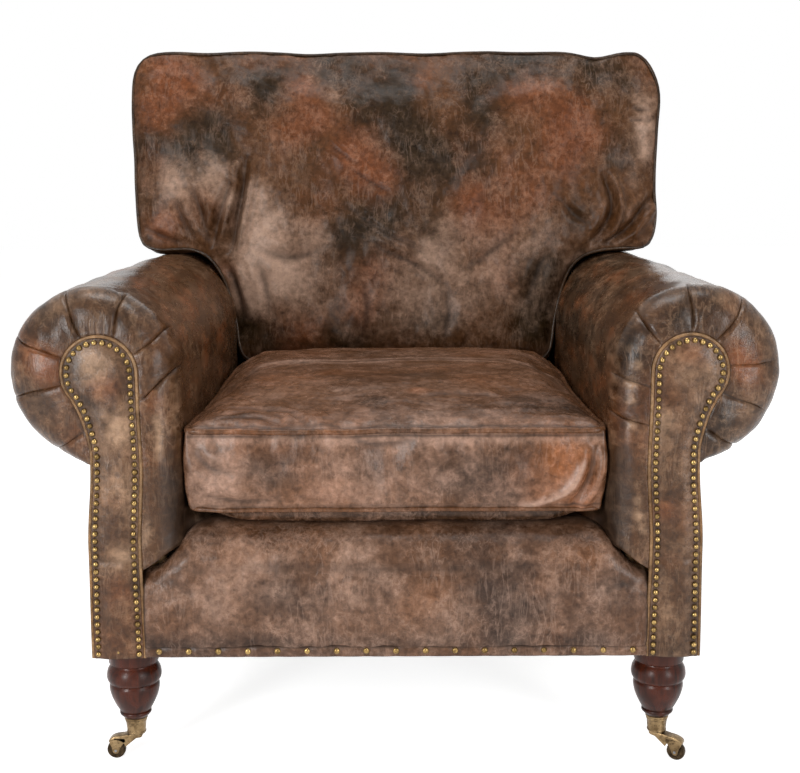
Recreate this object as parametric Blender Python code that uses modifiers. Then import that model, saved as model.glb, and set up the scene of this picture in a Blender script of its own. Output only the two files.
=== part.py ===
"""Worn leather club chair with scroll arms, loose cushions and two front castors.

Metres, +Z up. The chair faces -Y and stands on z = 0, with the origin in the middle of
its footprint. Left (-X) and right (+X) are as seen from the front. The shapes of an arm
are described for the +X side, where side is 1, and reflected for the other.
"""

import math

import bmesh
import bpy
from mathutils import Matrix, Vector

# Overall size
HEIGHT = 0.985
HALF_WIDTH = 0.491
HALF_DEPTH = 0.477
GAP = 0.0003                    # kept between solids that touch

# Levels
BOTTOM_Z = 0.163                # underside of the upholstery
RAIL_TOP_Z = 0.290
SPRING_R = 0.0019
UNDER_PAD_Z = RAIL_TOP_Z + 2 * SPRING_R + 2 * GAP + 0.0004
DECK_TOP_Z = 0.3345
SEAT_TOP_Z = 0.457              # upper seam of the seat cushion
SEAT_CROWN = 0.026
SEAT_PRESSED = 0.0045            # crown left under the back cushion
BACK_TOP_Z = 0.930              # top of the fixed back
EAR_Z = 0.657                   # where the back widens over the arms

# Arms
ROLL_R = 0.106
ROLL_RISE = 0.1095              # half height of the roll, which sags to a slight oval
ROLL_X = HALF_WIDTH - ROLL_R
ROLL_Z = 0.5325
ARM_INNER_X = ROLL_X - ROLL_R
ARM_TUCK_Z = RAIL_TOP_Z + 0.0015
ROLL_END = math.radians(-86)    # where the roll's cover stops, under the overhang
COVER_THICKNESS = 0.003
ARM_PAD_THICKNESS = 0.030
OUTSIDE_ARM = 0.006
ARM_FRONT_ROUND = 0.045         # depth of the pleated rounding at the front
HEAD_X = 0.3715
HEAD_Z = 0.5372
HEAD_R = 0.0465
NECK_Z = 0.440                  # where the facing's outer edge turns out to its head

# Front
NAIL_RISE = 0.003
NAIL_R = 0.0046
NAIL_PITCH = 0.0102
HEM_NAIL_PITCH = 0.0385
FACING_FRONT_Y = -(HALF_DEPTH - NAIL_RISE)
FACING_THICKNESS = 0.012
FACING_BACK_Y = FACING_FRONT_Y + FACING_THICKNESS
ARM_FRONT_Y = FACING_FRONT_Y + 0.006
STUMP_THICKNESS = 0.030
STUMP_FRONT_Y = FACING_BACK_Y + GAP
STUMP_BACK_Y = STUMP_FRONT_Y + STUMP_THICKNESS
BORDER_FRONT_Y = -0.470
BORDER_R = 0.065
BORDER_THICKNESS = 0.030
BORDER_BACK_Y = -0.352
RAIL_THICKNESS = 0.024

# Back: its outer face is a plane that leans, and depths are measured inwards from it
BACK_FOOT_Y = 0.412
LEAN = (HALF_DEPTH - BACK_FOOT_Y) / (BACK_TOP_Z - BOTTOM_Z)
PANEL = 0.006
POST_FRONT = 0.0463
POST_X = (0.336, 0.3778)
LOWER_RAIL_Z = (0.360, 0.410)
TOP_RAIL_Z = (0.865, 0.915)
BACK_REST_Y = 0.288             # front of the fixed back at the seat's top seam
CUSHION_LEAN = 0.153
EAR_X = 0.430

# Cushions
SEAT_HALF = 0.272
SEAT_FRONT_Y = -0.446
BACK_CUSHION_THICKNESS = 0.172
BACK_CUSHION_X = 0.4475
BACK_CUSHION_FLARE = 0.050       # how much wider it grows, per metre above the arms
BACK_BODY_X = 0.2745

# Legs and castors
FRONT_LEG = Vector((0.353, -0.418, 0))
REAR_LEG_TOP = Vector((0.335, 0.343, 0))
REAR_LEG_FOOT = Vector((0.345, 0.393, 0))
BLOCK_X = (0.3103, 0.3547)
BLOCK_BACK_Y = -0.345
SIDE_RAIL_X = (0.355, 0.379)
BOLT_R = 0.004
BOLT_Z = (0.122, 0.204)
CUP_TOP_Z = 0.060
CUP_BOTTOM_Z = 0.036
WHEEL_R = 0.0125
WHEEL_HALF = 0.0045
TRAIL = 0.028
AXLE_R = 0.0018
CASTOR_ANGLE = {"left": math.pi, "right": math.radians(-28)}

SIDES = (("left", -1), ("right", 1))

for old in list(bpy.data.objects):
    bpy.data.objects.remove(old, do_unlink=True)
chair = bpy.data.collections.new("club_chair")
cutters = bpy.data.collections.new("cutters")
bpy.context.scene.collection.children.link(chair)
bpy.context.scene.collection.children.link(cutters)


def finish(name, colour, roughness, metallic=0.0):
    """A plain Principled material."""
    made = bpy.data.materials.new(name)
    made.use_nodes = True
    shader = made.node_tree.nodes["Principled BSDF"]
    shader.inputs["Base Color"].default_value = (*colour, 1)
    shader.inputs["Roughness"].default_value = roughness
    shader.inputs["Metallic"].default_value = metallic
    return made


LEATHER = finish("worn_leather", (0.13, 0.068, 0.043), 0.5)
MAHOGANY = finish("mahogany", (0.09, 0.022, 0.015), 0.35)
HARDWOOD = finish("frame_hardwood", (0.42, 0.27, 0.14), 0.7)
PADDING = finish("padding", (0.72, 0.66, 0.52), 0.9)
CLOTH = finish("black_cloth", (0.02, 0.02, 0.02), 0.95)
BRASS = finish("antique_brass", (0.36, 0.24, 0.11), 0.4, 1.0)
STEEL = finish("spring_steel", (0.35, 0.35, 0.36), 0.35, 1.0)


def add_object(name, data, material, collection=chair):
    """Link a new object with one material."""
    made = bpy.data.objects.new(name, data)
    collection.objects.link(made)
    data.materials.clear()
    data.materials.append(material)
    return made


def add_mesh(name, bm, material, smooth=False, collection=chair):
    """Turn a bmesh into an object, faces out."""
    bmesh.ops.recalc_face_normals(bm, faces=bm.faces)
    mesh = bpy.data.meshes.new(name)
    bm.to_mesh(mesh)
    bm.free()
    if smooth:
        mesh.shade_smooth()
        mesh.set_sharp_from_angle(angle=math.radians(35))
    return add_object(name, mesh, material, collection)


def make_cutter(made):
    """Keep a tool out of the chair."""
    made.hide_render = True
    made.display_type = "WIRE"
    return made


def back_y(z, depth=0.0):
    """Y of a point at height z that lies this deep inside the outer back."""
    return BACK_FOOT_Y + LEAN * (z - BOTTOM_Z) - depth


def rest_y(z):
    """Y of the fixed back's front, which the back cushion leans on."""
    return BACK_REST_Y + CUSHION_LEAN * (z - SEAT_TOP_Z)


def box_mesh(low, high):
    """A cube primitive between two corners."""
    bm = bmesh.new()
    low, high = Vector(low), Vector(high)
    place = Matrix.Translation((low + high) / 2) @ Matrix.Diagonal((*(high - low), 1))
    bmesh.ops.create_cube(bm, size=1, matrix=place)
    return bm


def box(name, low, high, material, collection=chair):
    """A straight board."""
    return add_mesh(name, box_mesh(low, high), material, collection=collection)


def leaning_box(name, x, depth, z, material, collection=chair):
    """A board that leans with the back: depth is measured inwards from its outer face."""
    bm = box_mesh((x[0], -depth[1], z[0]), (x[1], -depth[0], z[1]))
    for vert in bm.verts:
        vert.co.y += back_y(vert.co.z)
    return add_mesh(name, bm, material, collection=collection)


def cylinder(name, radius, z, centre, material, sides=12, collection=chair):
    """An upright round bar."""
    bm = bmesh.new()
    place = Matrix.Translation((centre[0], centre[1], (z[0] + z[1]) / 2))
    bmesh.ops.create_cone(
        bm, cap_ends=True, segments=sides, radius1=radius, radius2=radius, depth=z[1] - z[0], matrix=place
    )
    return add_mesh(name, bm, material, smooth=True, collection=collection)


def turned(name, profile, material, steps=20, closed=False):
    """A lathe shape: profile is (radius, z) down the outer side."""
    mesh = bpy.data.meshes.new(name)
    count = len(profile)
    edges = [(i, i + 1) for i in range(count - 1)]
    if closed:
        edges.append((count - 1, 0))
    mesh.from_pydata([(r, 0, z) for r, z in profile], edges, [])
    made = add_object(name, mesh, material)
    screw = made.modifiers.new("turn", "SCREW")
    screw.axis = "Z"
    screw.steps = steps
    screw.render_steps = steps
    screw.use_merge_vertices = True
    screw.merge_threshold = 0.00005
    screw.use_smooth_shade = True
    return made


def plate(name, outline, thickness, material, collection=chair):
    """A flat outline in X and Z, extruded along Y about y = 0, as a mesh."""
    curve = bpy.data.curves.new(name, "CURVE")
    curve.dimensions = "2D"
    curve.fill_mode = "BOTH"
    curve.extrude = thickness / 2
    line = curve.splines.new("POLY")
    line.points.add(len(outline) - 1)
    for point, (x, z) in zip(line.points, outline):
        point.co = (x, z, 0, 1)
    line.use_cyclic_u = True
    drawn = bpy.data.objects.new(name + "_outline", curve)
    drawn.matrix_world = Matrix.Rotation(math.pi / 2, 4, "X")
    bpy.context.scene.collection.objects.link(drawn)
    bpy.context.view_layer.update()
    evaluated = drawn.evaluated_get(bpy.context.evaluated_depsgraph_get())
    mesh = bpy.data.meshes.new_from_object(evaluated)
    mesh.transform(drawn.matrix_world)
    bpy.data.objects.remove(drawn, do_unlink=True)
    bm = bmesh.new()
    bm.from_mesh(mesh)
    bmesh.ops.remove_doubles(bm, verts=bm.verts, dist=0.00001)
    return add_mesh(name, bm, material, collection=collection)


def combine(target, tool, operation, label):
    """Cut or join another mesh with an exact Boolean."""
    change = target.modifiers.new(label, "BOOLEAN")
    change.operation = operation
    change.solver = "EXACT"
    change.object = tool
    make_cutter(tool)
    return change


def sheet(name, rows, side, thickness, material, offset=-1.0):
    """A curved wall: a grid of points whose outer side faces away from the chair's middle."""
    bm = bmesh.new()
    grid = [[bm.verts.new((side * x, y, z)) for x, y, z in row] for row in rows]
    for upper, lower in zip(grid, grid[1:]):
        for k in range(len(upper) - 1):
            corners = [upper[k], upper[k + 1], lower[k + 1], lower[k]]
            if side < 0:
                corners.reverse()
            bm.faces.new(corners)
    mesh = bpy.data.meshes.new(name)
    bm.to_mesh(mesh)
    bm.free()
    mesh.shade_smooth()
    made = add_object(name, mesh, material)
    wall = made.modifiers.new("wall", "SOLIDIFY")
    wall.thickness = thickness
    wall.offset = offset
    wall.use_even_offset = True
    return made


def spaced(start, end, count):
    """Evenly spaced values, both ends included."""
    return [start + (end - start) * k / (count - 1) for k in range(count)]


def eased(stations, value):
    """Smooth curve through a few (position, result) stations."""
    if value <= stations[0][0]:
        return stations[0][1]
    for (a, low), (b, high) in zip(stations, stations[1:]):
        if value <= b:
            t = (value - a) / (b - a)
            return low + (high - low) * t * t * (3 - 2 * t)
    return stations[-1][1]


def facing_inner(z):
    """Inner edge of the keyhole facing."""
    return eased([(0.17, 0.3270), (0.31, 0.3290), (0.42, 0.3235), (0.50, 0.3250)], z)


def facing_outer(z):
    """Outer edge of the keyhole facing, which the outside arm follows."""
    return eased([(0.17, 0.3930), (0.31, 0.3915), (0.42, 0.3845)], z)


def facing_outline(grow=0.0):
    """Keyhole outline, up the inner edge, round the head and down the outer edge."""
    points = [(facing_inner(z) - grow, z) for z in spaced(BOTTOM_Z, 0.505, 9)]
    for angle in spaced(math.radians(165), math.radians(-42), 15):
        points.append((HEAD_X + (HEAD_R + grow) * math.cos(angle), HEAD_Z + (HEAD_R + grow) * math.sin(angle)))
    points.append((0.3960 + grow, 0.485))
    points.append((0.3890 + grow, 0.462))
    points += [(facing_outer(z) + grow, z) for z in spaced(NECK_Z, BOTTOM_Z, 10)]
    return points


def arm_section(inset=0.0):
    """Outer line of the arm in X and Z, up the inside face and over the roll."""
    points = [(ARM_INNER_X + inset, z) for z in spaced(ARM_TUCK_Z, ROLL_Z, 6)]
    for angle in spaced(math.pi, ROLL_END, 25)[1:]:
        reach = ROLL_R - inset
        rise = ROLL_RISE - inset
        points.append((ROLL_X + reach * math.cos(angle), ROLL_Z + rise * math.sin(angle)))
    return points


def front_target(index, x, z):
    """Point of the facing's edge that a point of the arm's section is drawn in to."""
    clear = 0.0014
    if z <= ROLL_Z and x < ROLL_X and index < 6:
        return facing_inner(z) - clear, z
    angle = math.atan2(z - ROLL_Z, x - ROLL_X)
    neck = max(0.0, (-angle - math.radians(20)) / (-ROLL_END - math.radians(20))) if angle < 0 else 0.0
    reach = HEAD_R + clear
    head = Vector((HEAD_X + reach * math.cos(angle), HEAD_Z + reach * math.sin(angle)))
    under = Vector((facing_outer(0.43) + 0.0040, ROLL_Z - ROLL_RISE + 0.0070))
    point = head.lerp(under, neck ** 1.5)
    return point.x, point.y


def arm_rows(inset, rounded):
    """Rows of an arm's wall from the front to the back."""
    section = arm_section(inset)
    rows = []
    start_y = ARM_FRONT_Y + ARM_FRONT_ROUND
    if rounded:
        for angle in spaced(math.pi / 2, math.radians(15), 6):
            draw = 1 - math.cos(angle)
            row = []
            for index, (x, z) in enumerate(section):
                tx, tz = front_target(index, x, z)
                y = start_y - ARM_FRONT_ROUND * math.sin(angle)
                row.append((x + (tx - x) * draw, y, z + (tz - z) * draw))
            rows.append(row)
    for share in (0.0, 0.5, 1.0):
        row = []
        for x, z in section:
            end_y = back_y(z)
            row.append((x, start_y + (end_y - start_y) * share, z))
        rows.append(row)
    return rows


def layered(cells, layers, skip, place):
    """A block of cells (columns, rows), extruded in layers, its points put in place."""
    columns, rows = cells
    bm = bmesh.new()
    bmesh.ops.create_grid(bm, x_segments=columns, y_segments=rows, size=0.5)
    for vert in bm.verts:
        vert.co.x = round((vert.co.x + 0.5) * columns)
        vert.co.y = round((vert.co.y + 0.5) * rows)
        vert.co.z = 0
    gone = []
    for face in bm.faces:
        centre = face.calc_center_median()
        if skip(int(centre.x), int(centre.y)):
            gone.append(face)
    bmesh.ops.delete(bm, geom=gone, context="FACES")
    faces = bm.faces[:]
    for layer in range(layers):
        grown = bmesh.ops.extrude_face_region(bm, geom=faces)["geom"]
        for item in grown:
            if isinstance(item, bmesh.types.BMVert):
                item.co.z += 1
        if layer > 0:
            bmesh.ops.delete(bm, geom=faces, context="FACES_ONLY")
        faces = [item for item in grown if isinstance(item, bmesh.types.BMFace)]
    for vert in bm.verts:
        vert.co = place(round(vert.co.x), round(vert.co.y), round(vert.co.z))
    return bm


def soften(made, levels):
    """Round a coarse cage."""
    smooth = made.modifiers.new("soft", "SUBSURF")
    smooth.levels = levels
    smooth.render_levels = levels
    return made


def crown(u, v):
    """1 in the middle of a panel and 0 along its edges, u and v from -1 to 1."""
    return (1 - u ** 2) ** 0.7 * (1 - v ** 2) ** 0.7 if abs(u) < 1 and abs(v) < 1 else 0.0


def make_frame():
    """Hardwood rails, stumps, posts and corner blocks."""
    rail_front = BORDER_FRONT_Y + BORDER_THICKNESS + GAP
    inner = BLOCK_X[0] - GAP
    box("front_rail", (-inner, rail_front, BOTTOM_Z), (inner, rail_front + RAIL_THICKNESS, RAIL_TOP_Z), HARDWOOD)
    post_inner = POST_X[0] - GAP
    rail_depth = (PANEL + GAP, PANEL + GAP + RAIL_THICKNESS)
    leaning_box("back_rail", (-post_inner, post_inner), rail_depth, (BOTTOM_Z, RAIL_TOP_Z), HARDWOOD)
    leaning_box("lower_back_rail", (-post_inner, post_inner), rail_depth, LOWER_RAIL_Z, HARDWOOD)
    leaning_box("top_back_rail", (-post_inner, post_inner), rail_depth, TOP_RAIL_Z, HARDWOOD)
    for label, side in SIDES:
        make_side_frame(label, side)


def across(side, span):
    """An X span on one side, lowest first."""
    return sorted((side * span[0], side * span[1]))


def make_side_frame(label, side):
    """The boards of one side of the frame."""
    outline = [(side * x, z) for x, z in facing_outline(-OUTSIDE_ARM - 2 * GAP)]
    stump = plate(label + "_arm_stump", outline, STUMP_THICKNESS, HARDWOOD)
    stump.location.y = (STUMP_FRONT_Y + STUMP_BACK_Y) / 2
    start = STUMP_BACK_Y + GAP
    x0, x1 = across(side, SIDE_RAIL_X)
    end = back_y(BOTTOM_Z, POST_FRONT + GAP)
    box(label + "_side_rail", (x0, BLOCK_BACK_Y + GAP, BOTTOM_Z), (x1, end, RAIL_TOP_Z), HARDWOOD)
    x0, x1 = across(side, (ROLL_X - 0.030, ROLL_X + 0.030))
    low_z = ROLL_Z - 0.015
    end = back_y(low_z, POST_FRONT + GAP)
    box(label + "_arm_top_rail", (x0, start, low_z), (x1, end, ROLL_Z + 0.015), HARDWOOD)
    post_depth = (PANEL + GAP, POST_FRONT)
    leaning_box(label + "_back_post", across(side, POST_X), post_depth, (BOTTOM_Z, TOP_RAIL_Z[1]), HARDWOOD)
    block_top = RAIL_TOP_Z - 0.004
    x0, x1 = across(side, (BLOCK_X[0], SIDE_RAIL_X[1]))
    front = box(label + "_front_block", (x0, start, BOTTOM_Z), (x1, BLOCK_BACK_Y, block_top), HARDWOOD)
    x0, x1 = across(side, BLOCK_X)
    rear_end = back_y(BOTTOM_Z, POST_FRONT + GAP)
    rear = box(label + "_rear_block", (x0, 0.298, BOTTOM_Z), (x1, rear_end, block_top), HARDWOOD)
    bolt_hole(front, (side * FRONT_LEG.x, FRONT_LEG.y))
    bolt_hole(rear, (side * REAR_LEG_TOP.x, REAR_LEG_TOP.y))


def bolt_hole(target, centre):
    """Clearance for a hanger bolt."""
    reach = (BOLT_Z[0] - 0.001, BOLT_Z[1] + 0.001)
    hole = cylinder(target.name + "_hole", BOLT_R + GAP, reach, centre, STEEL, collection=cutters)
    combine(target, hole, "DIFFERENCE", "bolt hole")


def make_springs():
    """Four zigzag springs across the rails, under the deck."""
    rail_front = BORDER_FRONT_Y + BORDER_THICKNESS + GAP
    start = rail_front + 0.006
    end = back_y(RAIL_TOP_Z, PANEL + 0.012)
    bends = 13
    swing = 0.024
    for number, centre in enumerate((-0.215, -0.072, 0.072, 0.215), start=1):
        points = [(centre, start)]
        pitch = (end - start) / (bends + 1)
        for k in range(bends):
            sign = 1 if k % 2 else -1
            y = start + pitch * (k + 0.75)
            points.append((centre + sign * swing, y))
            points.append((centre + sign * swing, y + pitch * 0.5))
        points.append((centre, end))
        curve = bpy.data.curves.new("seat_spring_%d" % number, "CURVE")
        curve.dimensions = "3D"
        curve.bevel_depth = SPRING_R
        curve.bevel_resolution = 1
        curve.use_fill_caps = True
        wire = curve.splines.new("POLY")
        wire.points.add(len(points) - 1)
        for point, (x, y) in zip(wire.points, points):
            point.co = (x, y, RAIL_TOP_Z + GAP + SPRING_R, 1)
        add_object(curve.name, curve, STEEL)


def make_platform():
    """Padded deck under the seat cushion, and the dust cover under the frame."""
    rear = rest_y(UNDER_PAD_Z) - GAP
    half = ARM_INNER_X - 0.0005
    box("seat_deck", (-half, BORDER_BACK_Y + GAP, UNDER_PAD_Z), (half, rear, DECK_TOP_Z), PADDING)
    box("dust_cover", (-0.300, -0.425, BOTTOM_Z - 0.0015), (0.300, 0.395, BOTTOM_Z - GAP), CLOTH)


def make_arm(label, side):
    """Padding, cover, outside panel, rear panel and facing of one arm."""
    pad = sheet(label + "_arm_padding", arm_rows(COVER_THICKNESS + GAP, False), side, ARM_PAD_THICKNESS, PADDING)
    cover = sheet(label + "_arm_cover", arm_rows(0.0, True), side, COVER_THICKNESS, LEATHER)
    slot_x = across(side, (POST_X[0] - GAP, POST_X[1] + GAP))
    slot = leaning_box(
        label + "_post_slot", slot_x, (-0.02, POST_FRONT + GAP), (ROLL_Z - 0.12, ROLL_Z + 0.12), HARDWOOD, cutters
    )
    notch_x = across(side, (ARM_INNER_X - 0.01, POST_X[0] + 0.01))
    notch_z = (LOWER_RAIL_Z[0] - GAP, LOWER_RAIL_Z[1] + GAP)
    notch = leaning_box(
        label + "_rail_notch", notch_x, (-0.02, PANEL + 2 * GAP + RAIL_THICKNESS), notch_z, HARDWOOD, cutters
    )
    behind_x = across(side, (0.2, HALF_WIDTH + 0.02))
    behind = leaning_box(label + "_behind", behind_x, (-0.05, PANEL + GAP), (0.2, 0.7), HARDWOOD, cutters)
    for wall in (pad, cover):
        combine(wall, behind, "DIFFERENCE", "rear trim")
        combine(wall, slot, "DIFFERENCE", "post slot")
        combine(wall, notch, "DIFFERENCE", "rail notch")
    rows = []
    for z in spaced(BOTTOM_Z, NECK_Z, 10):
        end = back_y(z, PANEL + GAP)
        rows.append([(facing_outer(z), y, z) for y in (STUMP_FRONT_Y, -0.2, 0.1, end)])
    sheet(label + "_outside_arm", rows, side, OUTSIDE_ARM, LEATHER)
    make_rear_panel(label, side)
    make_facing(label, side)


def make_rear_panel(label, side):
    """Closes the outer part of the roll's rear end."""
    radius = ROLL_R - COVER_THICKNESS - ARM_PAD_THICKNESS - 0.0012
    cut = POST_X[1] + 2 * GAP - ROLL_X
    turn = math.acos(cut / radius)
    outline = []
    for angle in spaced(turn, -turn, 13):
        outline.append((side * (ROLL_X + radius * math.cos(angle)), ROLL_Z + radius * math.sin(angle)))
    panel = plate(label + "_arm_rear_panel", outline, 0.006, LEATHER)
    panel.location.y = back_y(ROLL_Z - radius, PANEL + 2 * GAP + 0.003)


def nails_along(points, pitch):
    """Points evenly spaced along a line."""
    lengths = [0.0]
    for a, b in zip(points, points[1:]):
        lengths.append(lengths[-1] + (Vector(b) - Vector(a)).length)
    count = max(1, round(lengths[-1] / pitch))
    found = []
    for distance in spaced(0, lengths[-1], count + 1):
        k = max(i for i, length in enumerate(lengths) if length <= distance + 1e-9)
        k = min(k, len(points) - 2)
        t = (distance - lengths[k]) / (lengths[k + 1] - lengths[k])
        found.append(Vector(points[k]).lerp(Vector(points[k + 1]), t))
    return found


def nail_heads(name, places, front_y, radius):
    """Five-sided domed heads that stand out of a front face, as one cutter mesh."""
    bm = bmesh.new()
    root = 0.002
    for place in places:
        middle = Matrix.Translation((place[0], front_y + (root - NAIL_RISE) / 2, place[1]))
        turn = Matrix.Rotation(math.pi / 2, 4, "X")
        bmesh.ops.create_cone(
            bm, cap_ends=True, segments=5, radius1=radius, radius2=radius * 0.45, depth=root + NAIL_RISE,
            matrix=middle @ turn,
        )
    return add_mesh(name, bm, BRASS, collection=cutters)


def make_facing(label, side):
    """Keyhole panel with its close rows of brass nails."""
    outline = facing_outline()
    panel = plate(label + "_arm_facing", [(side * x, z) for x, z in outline], FACING_THICKNESS, LEATHER)
    panel.data.transform(Matrix.Translation((0, (FACING_FRONT_Y + FACING_BACK_Y) / 2, 0)))
    row = [(x, z) for x, z in facing_outline(-0.0075)]
    row[0] = (row[0][0], BOTTOM_Z + 0.008)
    row[-1] = (row[-1][0], BOTTOM_Z + 0.008)
    places = [(side * x, z) for x, z in nails_along(row, NAIL_PITCH)]
    places.append((side * (row[0][0] + row[-1][0]) / 2, BOTTOM_Z + 0.008))
    heads = nail_heads(label + "_facing_nails", places, FACING_FRONT_Y, NAIL_R)
    combine(panel, heads, "UNION", "nails")


def make_front_border():
    """Padded border under the seat cushion, with spaced nails in its hem."""
    half = facing_inner(BOTTOM_Z) - 0.0009
    shoulder = ARM_INNER_X - 0.0005
    under = UNDER_PAD_Z
    top = DECK_TOP_Z
    inner_y = BORDER_FRONT_Y + BORDER_THICKNESS
    profile = [(BORDER_FRONT_Y, BOTTOM_Z)]
    for angle in spaced(math.pi, math.pi / 2, 8):
        profile.append((BORDER_FRONT_Y + BORDER_R * (1 + math.cos(angle)), top - BORDER_R * (1 - math.sin(angle))))
    profile += [(BORDER_BACK_Y, top), (BORDER_BACK_Y, under), (inner_y, under), (inner_y, BOTTOM_Z)]
    border = plate("front_border", profile, 2 * half, LEATHER)
    border.data.transform(Matrix.Rotation(math.pi / 2, 4, "Z"))
    for vert in border.data.vertices:
        vert.co = (-vert.co.x, vert.co.y, vert.co.z)
    for label, side in SIDES:
        x0, x1 = across(side, (shoulder, half + 0.02))
        notch = box(label + "_border_notch", (x0, -0.6, ARM_TUCK_Z - 0.003), (x1, -0.2, 0.4), LEATHER, cutters)
        combine(border, notch, "DIFFERENCE", "arm notch " + label)
    count = int(2 * (half - 0.015) / HEM_NAIL_PITCH)
    reach = HEM_NAIL_PITCH * count / 2
    places = [(x, BOTTOM_Z + 0.008) for x in spaced(-reach, reach, count + 1)]
    heads = nail_heads("hem_nails", places, BORDER_FRONT_Y, NAIL_R)
    combine(border, heads, "UNION", "nails")


def make_back():
    """Fixed padded back with its ears, and the outside back panel."""
    columns = (-EAR_X, -ARM_INNER_X + 0.0005, ARM_INNER_X - 0.0005, EAR_X)
    rows = (UNDER_PAD_Z, EAR_Z, BACK_TOP_Z)

    def place(i, j, k):
        z = rows[j]
        return columns[i], rest_y(z) if k else back_y(z, PANEL + GAP), z

    bm = layered((3, 2), 1, lambda i, j: j == 0 and i != 1, place)
    back = add_mesh("inside_back", bm, LEATHER)
    rounding = back.modifiers.new("soft edges", "BEVEL")
    rounding.width = 0.012
    rounding.segments = 2
    rail_deep = PANEL + 2 * GAP + RAIL_THICKNESS
    post_inner = POST_X[0] - GAP
    post_x = (post_inner, POST_X[1] + GAP)
    post_z = (RAIL_TOP_Z - 0.04, TOP_RAIL_Z[1] + GAP)
    slots = {
        "left_post": (across(-1, post_x), POST_FRONT + GAP, post_z),
        "right_post": (across(1, post_x), POST_FRONT + GAP, post_z),
        "top_rail": ((-POST_X[0], POST_X[0]), rail_deep, (TOP_RAIL_Z[0] - GAP, TOP_RAIL_Z[1] + GAP)),
        "lower_rail": ((-POST_X[0], POST_X[0]), rail_deep, (LOWER_RAIL_Z[0] - GAP, LOWER_RAIL_Z[1] + GAP)),
    }
    for label, (x, deep, z) in slots.items():
        slot = leaning_box(label + "_slot", x, (-0.02, deep), z, HARDWOOD, cutters)
        combine(back, slot, "DIFFERENCE", label)
    half = [(facing_outer(z), z) for z in (BOTTOM_Z, 0.24, 0.31, 0.365, 0.42)]
    half += [(0.398, 0.635), (EAR_X, EAR_Z + 0.012)]
    half += [(EAR_X, BACK_TOP_Z - 0.012), (EAR_X - 0.012, BACK_TOP_Z)]
    outline = half + [(-x, z) for x, z in reversed(half)]
    panel = plate("outside_back", outline, PANEL, LEATHER)
    for vert in panel.data.vertices:
        vert.co.y += back_y(vert.co.z, PANEL / 2)


def make_seat_cushion():
    """Boxed cushion, crowned on top, with a belly that rests on the deck."""
    rear_y = rest_y(DECK_TOP_Z) - 0.002
    across_x = (-1.0, -0.94, -0.5, 0.0, 0.5, 0.94, 1.0)
    along_y = (SEAT_FRONT_Y, SEAT_FRONT_Y + 0.020, -0.28, -0.10, 0.09, rear_y - 0.020, rear_y)
    belly_z = DECK_TOP_Z + GAP
    lower_seam = 0.354

    def place(i, j, k):
        u = across_x[i]
        y = along_y[j]
        v = 2 * (y - along_y[0]) / (along_y[-1] - along_y[0]) - 1
        half = SEAT_HALF - 0.010 * max(0.0, v)
        edge = i in (0, 6) or j in (0, 6)
        if k == 0:
            return half * u, y, lower_seam if edge else belly_z
        if k == 1:
            swell = 0.003
            y += -swell if j == 0 else swell * 0.5 if j == 6 else 0
            return (half + (swell if i in (0, 6) else 0)) * u, y, (lower_seam + SEAT_TOP_Z) / 2
        rise = (0.0, 0.45, 0.92, 1.0, 0.12, 0.06, 0.0)[j]
        return half * u, y, SEAT_TOP_Z + SEAT_CROWN * rise * crown(u, 0.0)

    bm = layered((6, 6), 2, lambda i, j: False, place)
    soften(add_mesh("seat_cushion", bm, LEATHER, smooth=True), 1)


def make_back_cushion():
    """T-shaped cushion that stands on the seat cushion and leans on the fixed back."""
    body = BACK_BODY_X
    full = BACK_CUSHION_X
    columns = (-full, -full + 0.018, -0.360, -body, -0.140, 0.0, 0.140, body, 0.360, full - 0.018, full)
    foot_z = SEAT_TOP_Z + SEAT_PRESSED
    rows = (foot_z, foot_z + 0.020, 0.565, EAR_Z, EAR_Z + 0.018, 0.750, 0.860, HEIGHT - 0.018, HEIGHT)
    swell = 0.036

    def place(i, j, k):
        z = rows[j]
        x = columns[i] * (1 + BACK_CUSHION_FLARE * max(0.0, z - EAR_Z))
        rear = rest_y(z) - GAP
        if k == 0:
            return x, rear, z
        half = full if z >= EAR_Z else body
        u = max(-1.0, min(1.0, columns[i] / half))
        v = 2 * (z - foot_z) / (HEIGHT - foot_z) - 1
        depth = BACK_CUSHION_THICKNESS - 0.012 * max(0.0, v)
        if k == 1:
            return x, rear - depth * 0.5, z
        return x, rear - depth + 0.022 - swell * crown(u * 0.999, v * 0.999), z

    def skip(i, j):
        return j < 3 and (i < 3 or i > 6)

    bm = layered((10, 8), 2, skip, place)
    soften(add_mesh("back_cushion", bm, LEATHER, smooth=True), 1)


LEG_PROFILE = [
    (0.0, BOTTOM_Z - GAP), (0.0330, BOTTOM_Z - GAP), (0.0330, 0.1390), (0.0300, 0.1360), (0.0335, 0.1310),
    (0.0362, 0.1240), (0.0362, 0.1170), (0.0330, 0.1120), (0.0290, 0.1100), (0.0330, 0.1080),
    (0.0325, 0.0990), (0.0290, 0.0870), (0.0240, 0.0765), (0.0200, 0.0705), (0.0205, 0.0665),
    (0.0185, 0.0630), (0.0150, 0.0604), (0.0120, 0.0604), (0.0112, 0.0450), (0.0, 0.0450),
]
CUP_PROFILE = [
    (0.0032, CUP_BOTTOM_Z + 0.003), (0.0110, CUP_BOTTOM_Z + 0.003), (0.0124, CUP_TOP_Z), (0.0155, CUP_TOP_Z),
    (0.0155, CUP_TOP_Z - 0.003), (0.0142, CUP_TOP_Z - 0.005), (0.0124, CUP_BOTTOM_Z + 0.003),
    (0.0112, CUP_BOTTOM_Z), (0.0032, CUP_BOTTOM_Z),
]


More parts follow.
